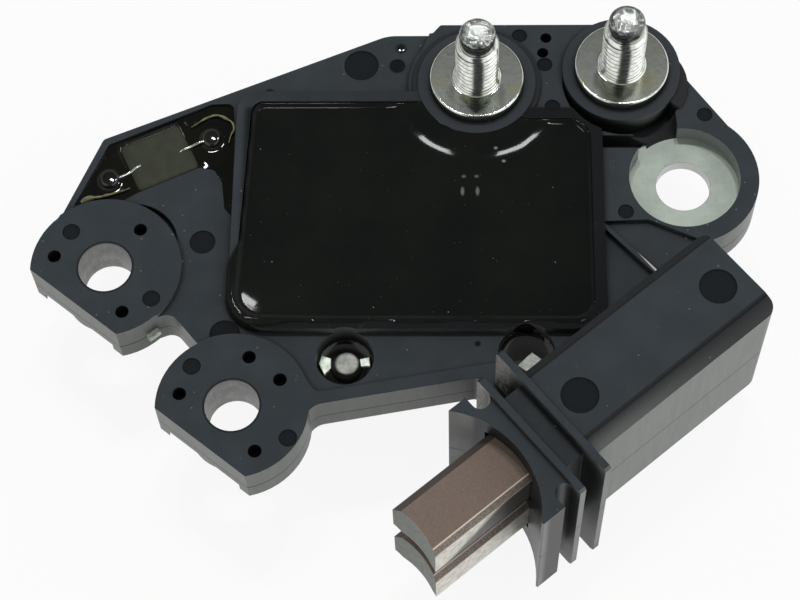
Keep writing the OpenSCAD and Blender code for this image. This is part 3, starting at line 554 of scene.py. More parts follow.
# %% Finishes of the carried solids
NODES_OF = {
    plastic: "housing", ring_plate: "earth_ring", bright_zinc: "left_stud right_stud",
    sleeve_steel: "upper_ear_sleeve lower_ear_sleeve", spring_wire: "upper_spring lower_spring",
    carbon: "upper_brush lower_brush", pool_resin: "potting", bay_resin: "capacitor_resin",
    capacitor_case: "capacitor", ceramic: "hybrid_substrate", chip_case: "regulator_chip",
    copper: "left_stud_lead right_stud_lead upper_brush_terminal lower_brush_terminal "
            "upper_pigtail lower_pigtail",
    tinned: "tie_bar_stub front_lead_strip rear_lead_strip left_capacitor_wire right_capacitor_wire "
            "left_capacitor_post right_capacitor_post left_solder_joint right_solder_joint",
}
FINISH_OF = {node: finish for finish, nodes in NODES_OF.items() for node in nodes.split()}
for name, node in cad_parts.items():
    node.data.materials.clear()
    node.data.materials.append(FINISH_OF[name].material)
print("finished", len(FINISH_OF), "of", len(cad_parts), "nodes")


# %% [markdown]
# New pieces could be bent by hand with modifiers. Here they are grids of points: the rows follow a profile or
# a path, and the columns go round it, so one formula gives the whole piece. dress puts a finished piece on the
# body it rides on and hides the solids it replaces.

# %% From a grid of points to a piece
TURNS, SMALL_TURNS = 96, 48


def make_piece(name, points, faces, finish, smooth=True):
    """A mesh object from points in millimetres and a list of faces."""
    mesh = bpy.data.meshes.new(name)
    mesh.from_pydata((np.asarray(points, float) * MM).tolist(), [], [list(map(int, q)) for q in faces])
    mesh.polygons.foreach_set("use_smooth", np.full(len(mesh.polygons), smooth))
    mesh.materials.append(finish.material)
    piece = bpy.data.objects.new(name, mesh)
    bpy.context.scene.collection.objects.link(piece)
    print(name, len(mesh.vertices), "points", len(mesh.polygons), "faces")
    return piece


def ring_faces(rows, columns, offset=0):
    """Quads between the rows of a grid whose columns go round, with a polygon over each end."""
    i, k = np.meshgrid(np.arange(rows - 1), np.arange(columns), indexing="ij")
    a, b = offset + i * columns + k, offset + i * columns + (k + 1) % columns
    quads = np.stack([a, b, b + columns, a + columns], -1).reshape(-1, 4).tolist()
    first = list(range(offset + columns - 1, offset - 1, -1))
    last = list(range(offset + (rows - 1) * columns, offset + rows * columns))
    return quads + [first, last]


def arc(centre, radius, start, end, count):
    """Points of an arc in the plane of radius and height, from one angle in degrees to another."""
    a = np.radians(np.linspace(start, end, count))
    return np.stack([centre[0] + radius * np.cos(a), centre[1] + radius * np.sin(a)], -1)


def turned(profile, x, y, turns=TURNS):
    """A profile of radius and height, carried round the upright line at x, y."""
    a = np.linspace(0, 2 * pi, turns, endpoint=False)
    radius, height = [np.repeat(np.asarray(c)[:, None], turns, 1) for c in np.asarray(profile).T]
    return np.stack([x + radius * np.cos(a), y + radius * np.sin(a), height], -1)


def tube(path, radius, sides=16, reference=(0.0, 0.0, 1.0)):
    """Circles round the points of a path, square to it. The radius may be a number for each point."""
    path = np.asarray(path, float)
    along = np.gradient(path, axis=0)
    along /= np.linalg.norm(along, axis=1, keepdims=True)
    side = np.cross(along, reference)
    side /= np.linalg.norm(side, axis=1, keepdims=True)
    out = np.cross(side, along)
    a = np.linspace(0, 2 * pi, sides, endpoint=False)
    wide = np.broadcast_to(radius, len(path))[:, None, None]
    circle = np.cos(a)[None, :, None] * side[:, None] + np.sin(a)[None, :, None] * out[:, None]
    return path[:, None] + wide * circle


def smooth_path(corners, count):
    """A curve through a few corners, equally spaced by length, smoothed by cubic weights."""
    corners = np.asarray(corners, float)
    run = np.concatenate([[0], np.cumsum(np.linalg.norm(np.diff(corners, axis=0), axis=1))])
    t = np.linspace(0, run[-1], count)
    slope = np.gradient(corners, run, axis=0)
    i = np.clip(np.searchsorted(run, t) - 1, 0, len(run) - 2)
    span = run[i + 1] - run[i]
    s = ((t - run[i]) / span)[:, None]
    span = span[:, None]
    return ((1 + 2 * s) * (1 - s) ** 2 * corners[i] + s * (1 - s) ** 2 * span * slope[i]
            + s * s * (3 - 2 * s) * corners[i + 1] + s * s * (s - 1) * span * slope[i + 1])


def dress(piece, slot, *nodes, body="holder"):
    """Puts a piece on a body and hides the solids it replaces. The slot is not used."""
    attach(piece, body)
    if nodes:
        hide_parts(*nodes)
    return piece


def grid_piece(name, finish, *grids, smooth=True):
    """One piece from one or more closed grids of rows and columns."""
    points, faces = np.zeros((0, 3)), []
    for grid in grids:
        faces += ring_faces(grid.shape[0], grid.shape[1], len(points))
        points = np.concatenate([points, grid.reshape(-1, 3)])
    return make_piece(name, points, faces, finish, smooth)


print("grid tools ready, with", TURNS, "columns round a turned piece")


# %% [markdown]
# A stud is turned, so it is a radius along its height, carried round a circle. Only the thread isn't round. A
# Screw modifier on a notch could cut it, but it wouldn't fade out at the ends. Here the radius depends on the
# height less the rise of one pitch per turn, which gives crest, flank and root. Both studs are alike.

# %% Studs with their threads
PITCH, THREAD_DEPTH, FLANK, ROOT, FADE_IN, FADE_OUT = 0.8, 0.42, 2.4, 0.16, 0.5, 0.7
THREAD_LOW, THREAD_HIGH, THREAD_ROWS = 8.15, 14.75, 120
STUD_R, POINT_R, POINT_LOW, STUD_TOP = 2.475, 2.05, 15.05, 17.3
TAIL_Z, FOOT_Z, COLLAR_Z, COLLAR_TOP = 1.8, 3.0, 6.0, 7.8
TAIL_R, FOOT_R, COLLAR_R, FILLET, ROOT_ARC = 2.0, 3.5, 5.4, 0.45, 0.35


def stud_profile():
    """Radius and height from the tail to the top: straight runs, with arcs at the rims and at the root."""
    rim, edge = 0.22, 0.5
    straight = np.linspace(THREAD_LOW, THREAD_HIGH, THREAD_ROWS)
    parts = [
        [(TAIL_R, TAIL_Z), (TAIL_R, FOOT_Z), (FOOT_R, FOOT_Z)],
        [(FOOT_R, COLLAR_Z), (COLLAR_R - 0.1, COLLAR_Z), (COLLAR_R, COLLAR_Z + 0.1)],
        arc((COLLAR_R - rim, COLLAR_TOP - rim), rim, 0, 90, 8),
        [(COLLAR_R - rim - 0.04, COLLAR_TOP), (STUD_R + FILLET + 0.04, COLLAR_TOP)],
        arc((STUD_R + FILLET, COLLAR_TOP + ROOT_ARC), ROOT_ARC, 270, 180, 8),
        np.stack([np.full(THREAD_ROWS, STUD_R), straight], -1),
        [(STUD_R - 0.35, THREAD_HIGH + 0.12), (POINT_R - 0.1, POINT_LOW), (POINT_R, POINT_LOW + 0.3)],
        arc((POINT_R - edge, STUD_TOP - edge), edge, 0, 90, 10),
        [(1.0, STUD_TOP - 0.03), (0.4, STUD_TOP - 0.05)],
    ]
    return np.concatenate([np.asarray(p, float) for p in parts])


def thread_cut(height, angle):
    """How far the thread cuts in: a wave with a narrow crest and root, fading out at both ends."""
    wave = np.mod(height / PITCH - angle / (2 * pi), 1)
    ramp = np.clip(np.abs(wave - 0.5) * FLANK - ROOT, 0, 1)
    fade_in = np.clip((height - THREAD_LOW) / FADE_IN, 0, 1)
    fade_out = np.clip((THREAD_HIGH - height) / FADE_OUT, 0, 1)
    return THREAD_DEPTH * ramp * fade_in * fade_out


def threaded_stud(name, node):
    """The turned profile at the node's place, with every radius less the thread's cut there."""
    x, y = middle(node)
    grid = turned(stud_profile(), 0, 0)
    radius = np.hypot(grid[..., 0], grid[..., 1])
    angle = np.linspace(0, 2 * pi, TURNS, endpoint=False)[None, :]
    shrink = 1 - thread_cut(grid[..., 2], angle) / radius
    grid = np.stack([x + grid[..., 0] * shrink, y + grid[..., 1] * shrink, grid[..., 2]], -1)
    return dress(grid_piece(name, bright_zinc, grid), "stud_zinc", node)


threaded_stud("left_threaded_stud", "left_stud")
threaded_stud("right_threaded_stud", "right_stud")


# %% [markdown]
# A poured resin finds its own level and creeps up what it touches. A fluid could be simulated, but a still one
# is only a height over the plate: a flat level, plus a rise that dies away with the distance from each wall.
# The distances come from half planes with rounded corners or from the edges of a polygon, so the same
# numbers give the outline and the rise. A second sheet under it, joined at the rim, closes the body.

# %% A body of poured resin
def fillet(a, b, r):
    """The distance to the corner of two half planes, rounded by r. Inside is negative."""
    outside = np.hypot(np.maximum(a + r, 0), np.maximum(b + r, 0))
    return np.minimum(np.maximum(a, b), -r) + outside


def line(x, y, x0, y0, x1, y1):
    """The distance to the line from point 0 to point 1, positive on its right."""
    return ((x - x0) * (y1 - y0) - (y - y0) * (x1 - x0)) / np.hypot(x1 - x0, y1 - y0)


def polygon_distance(x, y, corners):
    """The distance to a polygon's edge, negative inside. Every point is held against every edge at once."""
    a = np.asarray(corners, float)
    b = np.roll(a, -1, axis=0)
    px, py = x[..., None] - a[:, 0], y[..., None] - a[:, 1]
    ex, ey = b[:, 0] - a[:, 0], b[:, 1] - a[:, 1]
    t = np.clip((px * ex + py * ey) / (ex**2 + ey**2), 0, 1)
    near = np.hypot(px - t * ex, py - t * ey).min(-1)
    crossing = (a[:, 1] > y[..., None]) != (b[:, 1] > y[..., None])
    left = px < ex * (y[..., None] - a[:, 1]) / np.where(ey == 0, 1, ey)
    inside = (crossing & left).sum(-1) % 2 == 1
    return np.where(inside, -near, near)


def pour(name, height, low, high, cell, floor, finish):
    """A closed body from a floor up to a height, over the cells of a grid that lie inside."""
    x, y = np.meshgrid(np.arange(low[0], high[0], cell), np.arange(low[1], high[1], cell), indexing="ij")
    z, inside = height(x, y)
    shifts = (np.s_[:-1, :-1], np.s_[1:, :-1], np.s_[1:, 1:], np.s_[:-1, 1:])
    keep = inside[shifts[0]] & inside[shifts[1]] & inside[shifts[2]] & inside[shifts[3]]
    padded = np.pad(keep, 1)
    touching = sum(padded[s].astype(int) for s in shifts)
    rim = (touching > 0) & (touching < 4)
    number = np.arange(x.size).reshape(x.shape)
    above = np.stack([number[s][keep] for s in shifts], -1)
    sunk = np.where(rim, number, number + x.size).reshape(-1)
    faces = np.concatenate([above, sunk[above[:, ::-1]]])
    used, faces = np.unique(faces, return_inverse=True)
    top = np.stack([x, y, z], -1).reshape(-1, 3)
    under = np.stack([x, y, np.full(x.shape, floor)], -1).reshape(-1, 3)
    return make_piece(name, np.concatenate([top, under])[used], faces.reshape(-1, 4), finish)


# %% [markdown]
# The pool's resin is fuller at the lower left, where it ran over the wall and down its outer side, and a thin
# film of it lies on the wall along the bottom. Round the stud's boss it climbs in a wide, soft slope, which
# draws the two bright streaks. The numbers are heights and distances read off the photograph.

# %% The pool of resin
pool_low, pool_high = [np.array(corner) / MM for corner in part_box("potting")]
boss_x, boss_y = middle("left_stud")
BOSS_R, POOL_STEP, POOL_SLANT = 6.8, 2.2, 1.3
LEVEL, POOL_FLOOR, UNDER_WALL, POOL_CELL = 6.02, 4.9, 0.45, 0.2
WALL_RISE, WALL_REACH, FALL, FILM_WIDTH = 0.44, 0.55, 4.5, 0.75
CREEP, CREEP_REACH, DROOP = 0.55, 4.5, 0.3
CORNER_LEFT, CORNER_RIGHT, CORNER_TOP, CORNER_TALL, OUTER_CORNERS = 3.2, 2.4, 2.6, 1.4, (4.5, 3.6)
SWELL, SWELL_AT, SWELL_WIDTH = 0.55, (1.05, 13.86), 4.4
OUTER_LEFT, OUTER_BOTTOM, OUTER_RIGHT = ((-1.02, 8.9), (-0.89, 39.0)), 8.9, 41.0


def pool_wall(x, y):
    """The distance to the pool's wall, negative inside: a wide part, and a tall one left of the stud."""
    left = line(x, y, pool_low[0] + POOL_SLANT, pool_high[1], pool_low[0], pool_low[1])
    low_left = fillet(left, pool_low[1] - y, CORNER_LEFT)
    low_right = fillet(low_left, x - pool_high[0], CORNER_RIGHT)
    wide = fillet(low_right, y - (pool_high[1] - POOL_STEP), CORNER_TOP)
    tall = fillet(np.maximum(low_left, x - boss_x), y - pool_high[1], CORNER_TALL)
    return np.minimum(wide, tall)


def pool_height(x, y):
    """The level, the rise at the walls and the boss, the swell, and the fall over the wall's outer edge."""
    inner = pool_wall(x, y)
    (x0, y0), (x1, y1) = OUTER_LEFT
    outer = fillet(line(x, y, x1, y1, x0, y0), OUTER_BOTTOM - y, OUTER_CORNERS[0])
    outer = fillet(outer, x - OUTER_RIGHT, OUTER_CORNERS[1])
    boss = np.hypot(x - boss_x, y - boss_y) - BOSS_R
    away = np.hypot(x - SWELL_AT[0], y - SWELL_AT[1])
    swell = SWELL * np.exp(-0.5 * (away / SWELL_WIDTH) ** 2)
    rise = WALL_RISE * np.clip(1 + inner / WALL_REACH, 0, 1) ** 2
    creep = CREEP * np.clip(1 - boss / CREEP_REACH, 0, 1) ** 2
    film = np.clip((pool_low[1] + DROOP - y) / DROOP, 0, 1) * (0.85 + 0.15 * np.sin(x * 0.7))
    wave = 0.02 * np.sin(x * 0.31 + 1) * np.sin(y * 0.27)
    cover = np.clip(swell / 0.15 - 1.5, 0, 1)
    edge = (1 - cover) * (inner - FILM_WIDTH * film) + cover * (outer - 0.05)
    z = LEVEL + np.maximum(rise, creep) + swell + 0.07 * film + wave - FALL * np.maximum(edge, 0)
    return z, (edge < UNDER_WALL) & (boss > -UNDER_WALL)


pool = pour(
    "resin_pool", pool_height, pool_low[:2] - 2.4, pool_high[:2] + 1.6, POOL_CELL, POOL_FLOOR, pool_resin)
dress(pool, "potting", "potting")


# %% [markdown]
# The capacitor lies in a bay of its own. It was dipped in paint, so its edges are round. Its leads are
# soldered to two posts, and black resin was brushed round it. The body could be a bevelled box, but one
# formula gives it too: the points where |x|^n + |y|^n + |z|^n is 1, a ball for n = 2, a near box for n = 12.

# %% The capacitor and the resin round it
UPPER_EAR = np.array(middle("upper_ear_sleeve"))
BAY_R, BAY_LEVEL, BAY_FLOOR, BAY_CELL = 8.6, 5.12, 2.72, 0.14
GLINTS = np.array([(-14.9, 31.73), (-14.36, 32.46), (-6.95, 35.5), (-4.27, 30.11), (-2.91, 28.39)])
LUMP, LUMP_WIDTH, RISE, BODY_REACH, JOINT_REACH, MARK = 0.08, 0.5, 0.14, 0.7, 0.6, 0.03
LUMPS_AT = GLINTS + LUMP_WIDTH * np.array([-0.29, 0.956])
CAP_AT, CAP_TURN, CAP_HALF = np.array([-9.7, 31.0]), radians(25.5), (3.75, 3.22)
CAP_BOTTOM, CAP_TOP, CAP_POWER, CAP_ROWS, CAP_COLUMNS, POLE = 2.7, 5.36, 12.0, 40, 96, 0.02
SOLDER_AT, SOLDER_R = np.array([[-15.2, 28.15], [-3.78, 33.44]]), 1.15
BAY_CORNERS = [UPPER_EAR + BAY_R * np.array([cos(a), sin(a)]) for a in np.radians((121, 111, 101, 91, 82))]
BAY_CORNERS += [(-12.0, 26.3), (-5.0, 29.6), (-3.3, 29.3), (-2.3, 27.6), (-1.9, 24.3), (-1.1, 23.4)]
BAY_CORNERS += [(-1.1, 34.0), (-1.4, 38.0), (-4.0, 37.9), (-15.6, 32.6)]


def cap_place(x, y):
    """Turns a place to the capacitor's own directions, along its leads and across them."""
    dx, dy = x - CAP_AT[0], y - CAP_AT[1]
    return dx * cos(CAP_TURN) + dy * sin(CAP_TURN), dy * cos(CAP_TURN) - dx * sin(CAP_TURN)


def capacitor_body():
    """A sphere's directions, each one stretched until |x|^n + |y|^n + |z|^n is 1, then scaled to the body."""
    rise = np.linspace(POLE - pi / 2, pi / 2 - POLE, CAP_ROWS)[:, None]
    turn = np.linspace(0, 2 * pi, CAP_COLUMNS, endpoint=False)
    d = np.broadcast_arrays(np.cos(rise) * np.cos(turn), np.cos(rise) * np.sin(turn), np.sin(rise))
    d = np.stack(d, -1)
    d = d / (np.abs(d) ** CAP_POWER).sum(-1, keepdims=True) ** (1 / CAP_POWER)
    u, v = d[..., 0] * CAP_HALF[0], d[..., 1] * CAP_HALF[1]
    z = (CAP_TOP + CAP_BOTTOM) / 2 + d[..., 2] * (CAP_TOP - CAP_BOTTOM) / 2
    x = CAP_AT[0] + u * cos(CAP_TURN) - v * sin(CAP_TURN)
    return np.stack([x, CAP_AT[1] + u * sin(CAP_TURN) + v * cos(CAP_TURN), z], -1)


def bay_height(x, y):
    """The resin's level, its rise round the body and the joints, its brush marks and its lumps."""
    wall = polygon_distance(x, y, BAY_CORNERS)
    u, v = cap_place(x, y)
    body = fillet(abs(u) - CAP_HALF[0], abs(v) - CAP_HALF[1], 0.5)
    joint = np.hypot(x[..., None] - SOLDER_AT[:, 0], y[..., None] - SOLDER_AT[:, 1]).min(-1) - SOLDER_R
    rise = RISE * np.clip(1 - body / BODY_REACH, 0, 1) ** 2 * np.clip(0.5 + v / 6, 0, 1)
    rise = rise + RISE * np.clip(1 - joint / JOINT_REACH, 0, 1) ** 2
    above_body = np.clip((v - CAP_HALF[1]) / 0.3, 0, 1) * (abs(u) < CAP_HALF[0] + 0.45)
    marks = MARK * above_body * np.sin(x * 8.3 + y * 3.1) * np.sin(y * 6.9 - x * 3.8 + 1)
    away = np.hypot(x[..., None] - LUMPS_AT[:, 0], y[..., None] - LUMPS_AT[:, 1])
    lumps = LUMP * np.exp(-0.5 * (away / LUMP_WIDTH) ** 2).sum(-1)
    return BAY_LEVEL + rise + marks + lumps - 0.5 * (body < -0.3), wall < 0.3


dress(grid_piece("capacitor_body", capacitor_case, capacitor_body()), "capacitor_body", "capacitor")
brushed = pour(
    "brushed_resin", bay_height, np.min(BAY_CORNERS, axis=0) - 0.5, np.max(BAY_CORNERS, axis=0) + 0.5,
    BAY_CELL, BAY_FLOOR, bay_resin)
dress(brushed, "bay_resin", "capacitor_resin")


# %% [markdown]
# Each joint of the capacitor is a drop of solder under the resin, and two small drops of resin were spilt on
# the plate. Half a ball would do from afar, but a real drop has a steep side and a nearly flat cap, and the
# lean of the cap decides where the lamps show in it.

# %% Solder domes and spills
DOME = {"radius": SOLDER_R, "cap": 0.78, "low": 5.1, "side": 0.6, "curve": 7.0}
SPILL = {"radius": 0.64, "cap": 0.46, "low": 5.3, "side": 0.22, "curve": 3.5}
DOME_LEANS, SPILL_LEAN = [(0.0, 0.03), (0.02, 0.05)], (0.0, 0.02)
SPILLS = {"left_spill": (2.74, 39.45), "right_spill": (17.9, 45.4)}


def drop(at, lean, radius, cap, low, side, curve):
    """A round steep side, then a wide cap that falls by r squared over twice its curve, and a lean."""
    steep, r = arc((0, 0), 1.0, 0, 84, 14), np.linspace(cap - 0.06, 0.06, 10)
    top = low + side + (cap**2 - r**2) / (2 * curve)
    profile = [[(radius * 0.8, low - 0.8), (radius, low - 0.5)], steep * (radius - cap, side) + (cap, low)]
    grid = turned(np.concatenate(profile + [np.stack([r, top], -1)]), *at, SMALL_TURNS)
    high = np.clip((grid[..., 2] - low) / side, 0, 1)
    grid[..., 2] += high * ((grid[..., 0] - at[0]) * lean[0] + (grid[..., 1] - at[1]) * lean[1])
    return grid


for side, at, lean in zip(("left", "right"), SOLDER_AT, DOME_LEANS):
    dome = grid_piece(side + "_solder_dome", coated_solder, drop(at, lean, **DOME))
    dress(dome, "solder", side + "_solder_joint")
for name, at in SPILLS.items():
    dress(grid_piece(name, coated_solder, drop(at, SPILL_LEAN, **SPILL)), "bay_resin")


# %% [markdown]
# The capacitor's leads come out of the body, arch over the resin and dip into the joints, so each one is a
# round wire along a curve through a few points. A yellowish glue line shows where the resin meets the wall.
# It is such a wire too, of an uneven thickness.

# %% Leads and glue lines
LEAD_R = 0.14
LEADS = {
    "right_capacitor_lead": [
        (-7.6, 31.6, 5.0), (-7.05, 31.85, 5.38), (-6.0, 32.4, 5.4), (-4.93, 32.91, 5.5), (-4.2, 33.2, 5.4)],
    "left_capacitor_lead": [
        (-14.6, 28.2, 5.3), (-14.05, 28.41, 5.35), (-12.81, 29.2, 5.2), (-12.14, 29.73, 5.34),
        (-11.7, 30.0, 5.2)],
}
for name, path in LEADS.items():
    lead = grid_piece(name, bright_zinc, tube(smooth_path(path, 24), LEAD_R))
    dress(lead, "lead_copper", name.replace("lead", "wire"))

GLUE_Z, GLUE_BLOB = 5.42, {"lower_glue": 0.3}
GLUE_LINES = {
    "upper_glue": [
        (-6.21, 34.85), (-5.41, 35.45), (-4.27, 36.19), (-3.33, 36.46), (-2.25, 36.05), (-1.4, 35.38),
        (-1.25, 34.57), (-1.57, 33.76), (-1.76, 32.83)],
    "lower_glue": [
        (-18.26, 25.13), (-17.25, 25.65), (-16.1, 25.85), (-14.96, 26.17), (-13.82, 26.57), (-12.79, 26.96)],
}
for name, path in GLUE_LINES.items():
    centre = smooth_path([(x, y, GLUE_Z) for x, y in path], 60)
    t = np.linspace(0, 1, 60)
    thick = 0.06 + 0.08 * np.sin(pi * t) * (1 + 0.6 * np.sin(31 * t + 1) * np.sin(9 * t))
    thick = thick + GLUE_BLOB.get(name, 0) * np.exp(-((t - 0.12) / 0.12) ** 2)
    dress(grid_piece(name, glue, tube(centre, thick, 12)), "bay_resin")


# %% [markdown]
# In the two wells the strips of the lead frame are bare: the front one is pressed round a pin, whose flat
# head shows as a pale disc, and the rear one is a sheared tab. Resin stands up at the wall round them. The
# strips are flat outlines with a height, and the pin is turned, as the real ones are punched and turned.

# %% What lies in the wells
FRONT_WELL, REAR_WELL, WELL_R, WELL_FLOOR = (12.1, 5.9), (32.1, 6.4), 3.2, 2.2
WELL_BOTTOM, WELL_CELL, PIN_AT, COLLAR_AT = 1.2, 0.14, (12.27, 5.92), (12.2, 5.9)


def slab(corners, low, high, bevel=0.08):
    """A flat strip: its outline at four heights, drawn in a little at the bottom and the top."""
    c = np.asarray(corners, float)
    inward = c.mean(0) - c
    inward /= np.linalg.norm(inward, axis=1, keepdims=True)
    rows = [(low, bevel), (low + bevel, 0), (high - bevel, 0), (high, bevel)]
    return np.stack([np.column_stack([c + inward * drawn, np.full(len(c), z)]) for z, drawn in rows])


left_arm = [(9.1, 6.22), (9.77, 4.84), (10.52, 5.67), (10.49, 6.88), (9.4, 7.26)]
right_arm = [(13.61, 6.78), (13.69, 5.84), (14.86, 5.88), (14.75, 7.06)]
arm_slabs = [slab(arm, 2.3, 3.05) for arm in (left_arm, right_arm)]
arms = grid_piece("front_strip_arms", tinned, *arm_slabs, smooth=False)
dress(arms, "lead_copper", "front_lead_strip")
HEAD = [(0.3, 3.6), (1.28, 3.62), (1.34, 3.7), (1.3, 3.78), (1.1, 3.8), (0.3, 3.8)]
dress(grid_piece("front_pin_head", sheared, turned(HEAD, *PIN_AT, SMALL_TURNS)), "lead_copper")
COLLAR = [(0.5, 2.4), (1.7, 2.45), (1.72, 2.8), (1.6, 3.1), (1.42, 3.4), (1.25, 3.55), (0.5, 3.56)]
dress(grid_piece("front_pin_collar", glue_skin, turned(COLLAR, *COLLAR_AT, SMALL_TURNS)), "bay_resin")
tab = [(31.02, 5.6), (32.38, 4.64), (33.78, 6.44), (32.69, 7.28)]
tab = grid_piece("rear_strip_tab", sheared, slab(tab, 2.4, 3.95, 0.1), smooth=False)
dress(tab, "lead_copper", "rear_lead_strip")


def well_height(at, level, turn, tilt):
    """The resin in a well: low in the middle, up at the wall, and leaning to one side."""
    def height(x, y):
        dx, dy = x - at[0], y - at[1]
        away = np.hypot(dx, dy)
        lean = (dx * cos(turn) + dy * sin(turn)) / WELL_R
        return WELL_FLOOR + level + tilt * lean + 0.5 * np.exp((away - WELL_R) / 0.45), away < WELL_R + 0.12
    return height


for name, at, level, turn, tilt in (
        ("front", FRONT_WELL, 0.3, radians(60), 0.1), ("rear", REAR_WELL, 1.5, radians(95), 0.7)):
    low, high = np.array(at) - WELL_R - 0.5, np.array(at) + WELL_R + 0.5
    skin = well_height(at, level, turn, tilt)
    dress(pour(name + "_well_resin", skin, low, high, WELL_CELL, WELL_BOTTOM, bay_resin), "bay_resin")


# %% [markdown]
# Behind each brush a spring presses, and a braided lead runs through it to the terminal. A helix is a circle
# carried along a line, so its path is one formula, and the wire is a tube round it. Both get shorter as the
# brush goes in; shape keys could do that, but here each is built at one length.

# %% Springs and pigtails
BOX_OFFSET, BRUSH_SHIFT, SPRING_LOW, SPRING_SEAT = 25.3, 0.4, 26.1, 46.985
SPRING_R, WIRE_R, SPRING_TURNS, PIGTAIL_R, PUSHED = 2.35, 0.25, 9, 0.8, 11.5
BRUSH_LEVELS = {"upper": 7.0, "lower": -1.4}


def from_box(along, across, z):
    """A place in the plate's frame from one along and across the brush box."""
    across = across - BOX_OFFSET
    x = along * cos(BOX_ANGLE) - across * sin(BOX_ANGLE)
    return np.stack(np.broadcast_arrays(x, along * sin(BOX_ANGLE) + across * cos(BOX_ANGLE), z), -1)


def helix(z):
    """A line along the box that also goes round a circle, with closed turns at both ends."""
    t = np.linspace(0, 1, SPRING_TURNS * 32)
    a = 2 * pi * SPRING_TURNS * t
    low, high = SPRING_LOW + WIRE_R + 0.05, SPRING_SEAT - WIRE_R - 0.05
    return from_box(low + (high - low) * t, BRUSH_SHIFT + SPRING_R * np.cos(a), z + SPRING_R * np.sin(a))


for side, z in BRUSH_LEVELS.items():
    spring = grid_piece(side + "_coil", spring_wire, tube(helix(z), WIRE_R, 10, ALONG_BOX))
    run = np.linspace(SPRING_LOW - 0.1, SPRING_SEAT - 0.02, 60)
    twist = 0.06 * np.sin(run * 5)
    braid = grid_piece(side + "_braid", copper, tube(from_box(run, BRUSH_SHIFT, z), PIGTAIL_R + twist, 16))
    anchor = tuple(from_box(SPRING_SEAT, BRUSH_SHIFT, z) * MM)
    for piece, slot, node in ((spring, "spring_steel", "spring"), (braid, "lead_copper", "pigtail")):
        dress(piece, slot, side + "_" + node)
        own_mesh(piece)


# %% [markdown]
# The floor is a white sheet under the lowest point. A camera ray sees it almost evenly white, as in a cut-out
# product photograph, and so do the shiny walls, while a part of its real shading stays, as a soft shadow. The
# sky is bright near the horizon and from the right, and dim overhead. What the flat tops mirror is darker,
# and so is a strip in front, where the camera stood. Reflections alone see two bright boxes beside it,
# which whiten the threads. A sky does with a few steps what many lamps and screens do in a studio.

# %% Floor, world and lamps
FLOOR_GAP, HALF_FLOOR, WHITE_SHARE = 0.1, 3000.0, 0.9
floor_z = cad_box[0][2] / MM - FLOOR_GAP
corners = [(x * HALF_FLOOR, y * HALF_FLOOR, floor_z) for x, y in ((-1, -1), (1, -1), (1, 1), (-1, 1))]
paper = Finish("paper", {"Roughness": 0.9, "Specular IOR Level": 0.1, "Base Color": (0.86, 0.86, 0.86, 1)})
seen = paper.node("ShaderNodeLightPath", {}, {})
glow = paper.node("ShaderNodeEmission", {}, {"Color": (1, 1, 1, 1), "Strength": 1.0})["Emission"]
share = seen["Is Camera Ray"] * WHITE_SHARE + seen["Is Glossy Ray"] * WHITE_SHARE
shade = Knob(paper, paper.shader.outputs["BSDF"])
mixed = paper.node("ShaderNodeMixShader", {}, {0: share, 1: shade, 2: glow})["Shader"]
paper.plug(mixed, paper.tree.nodes["Material Output"].inputs["Surface"])
make_piece("floor", corners, [[0, 1, 2, 3]], paper, smooth=False)

FRONT, FRONT_SIDES = (0.46, 0.54), (0.36, 0.24)
BOX_FRONT, BOX_SIDES, BOX_HEIGHT, BOX_LIGHT = (-0.1, 0.05), (0.3, 0.42), (0.2, 0.4), 0.7
MIRRORED, MIRRORED_EDGE, MIRRORED_SHADE = (0, 0.48, 0.877), (0.80, 0.95), 0.48
OVERHEAD, HORIZON, HORIZON_HEIGHT, RIGHT, RIGHT_LIGHT = 0.6, 0.4, (0.5, 0.12), (0.3, 0.9), 0.7

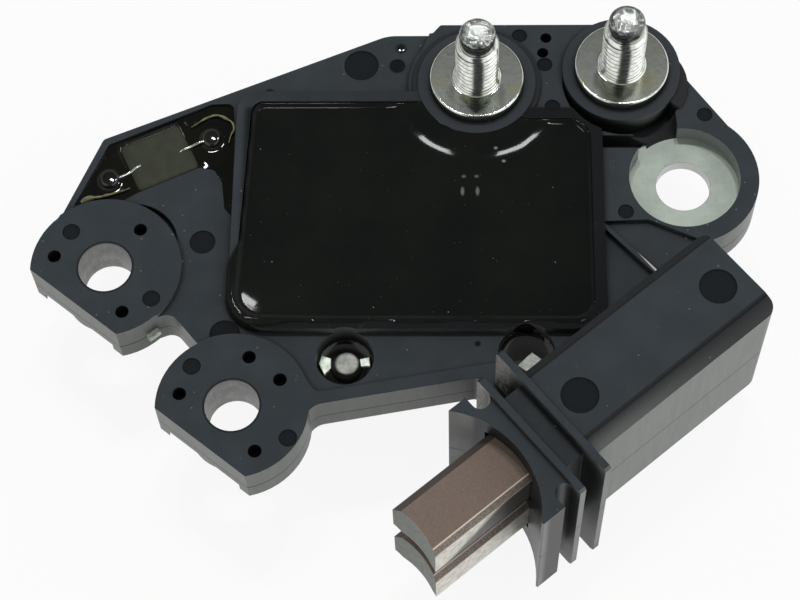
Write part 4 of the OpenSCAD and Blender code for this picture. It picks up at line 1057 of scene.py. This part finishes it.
world = bpy.data.worlds.new("studio")
world.use_nodes = True
bpy.context.scene.world = world
sky = Finish("sky", {}, world.node_tree)
path = sky.node("ShaderNodeLightPath", {}, {})
towards = sky.node("ShaderNodeTexCoord", {}, {})["Generated"]
height, forward = sky.along((0, 0, 1), towards), sky.along((0, -1, 0), towards)
rightward = sky.along((1, 0, 0), towards)
sideways = abs(rightward)
front = forward.step(*FRONT) * sideways.step(*FRONT_SIDES)
boxes = forward.step(*BOX_FRONT) * sideways.step(*BOX_SIDES) * height.step(*BOX_HEIGHT)
mirrored = sky.along(MIRRORED, towards).step(*MIRRORED_EDGE)
extra = rightward.step(*RIGHT) * RIGHT_LIGHT + boxes * path["Is Glossy Ray"] * BOX_LIGHT
amount = OVERHEAD + height.step(*HORIZON_HEIGHT) * HORIZON - mirrored * MIRRORED_SHADE + extra
amount = amount * (1 - front * 0.9)
amount = amount * (1 - path["Is Camera Ray"]) + path["Is Camera Ray"]
background = world.node_tree.nodes["Background"]
sky.plug(amount, background.inputs["Strength"])
background.inputs["Color"].default_value = (1, 1, 1, 1)


MIDDLE = Vector((20, 18, 4)) * MM
LAMP_SIZE, LAMP_POWER = (0.104, 0.045), 1.8


def lamp(name, place, long_side, size, power):
    """An area lamp that looks at the middle of the part, with its long side along a direction."""
    light = bpy.data.lights.new(name, "AREA")
    light.shape, light.size, light.size_y, light.energy = "RECTANGLE", size[0], size[1], power
    made = bpy.data.objects.new(name, light)
    place = Vector(place)
    back = (place - MIDDLE).normalized()
    side = Vector((*long_side, 0))
    side = (side - side.dot(back) * back).normalized()
    turn = Matrix((side, back.cross(side), back)).transposed().to_4x4()
    made.matrix_world = Matrix.Translation(place) @ turn
    bpy.context.scene.collection.objects.link(made)


lamp("left_lamp", (-0.078, 0.373, 0.941), (0.85, -0.53), LAMP_SIZE, LAMP_POWER)
lamp("right_lamp", (0.145, 0.367, 0.942), (0.87, 0.50), LAMP_SIZE, LAMP_POWER)
print("floor at", round(floor_z, 1), "mm, and two lamps of", LAMP_POWER, "watts")


# %% [markdown]
# The colours are shown as they are, with no film look.

# %% View settings
bpy.context.scene.view_settings.view_transform = "Standard"
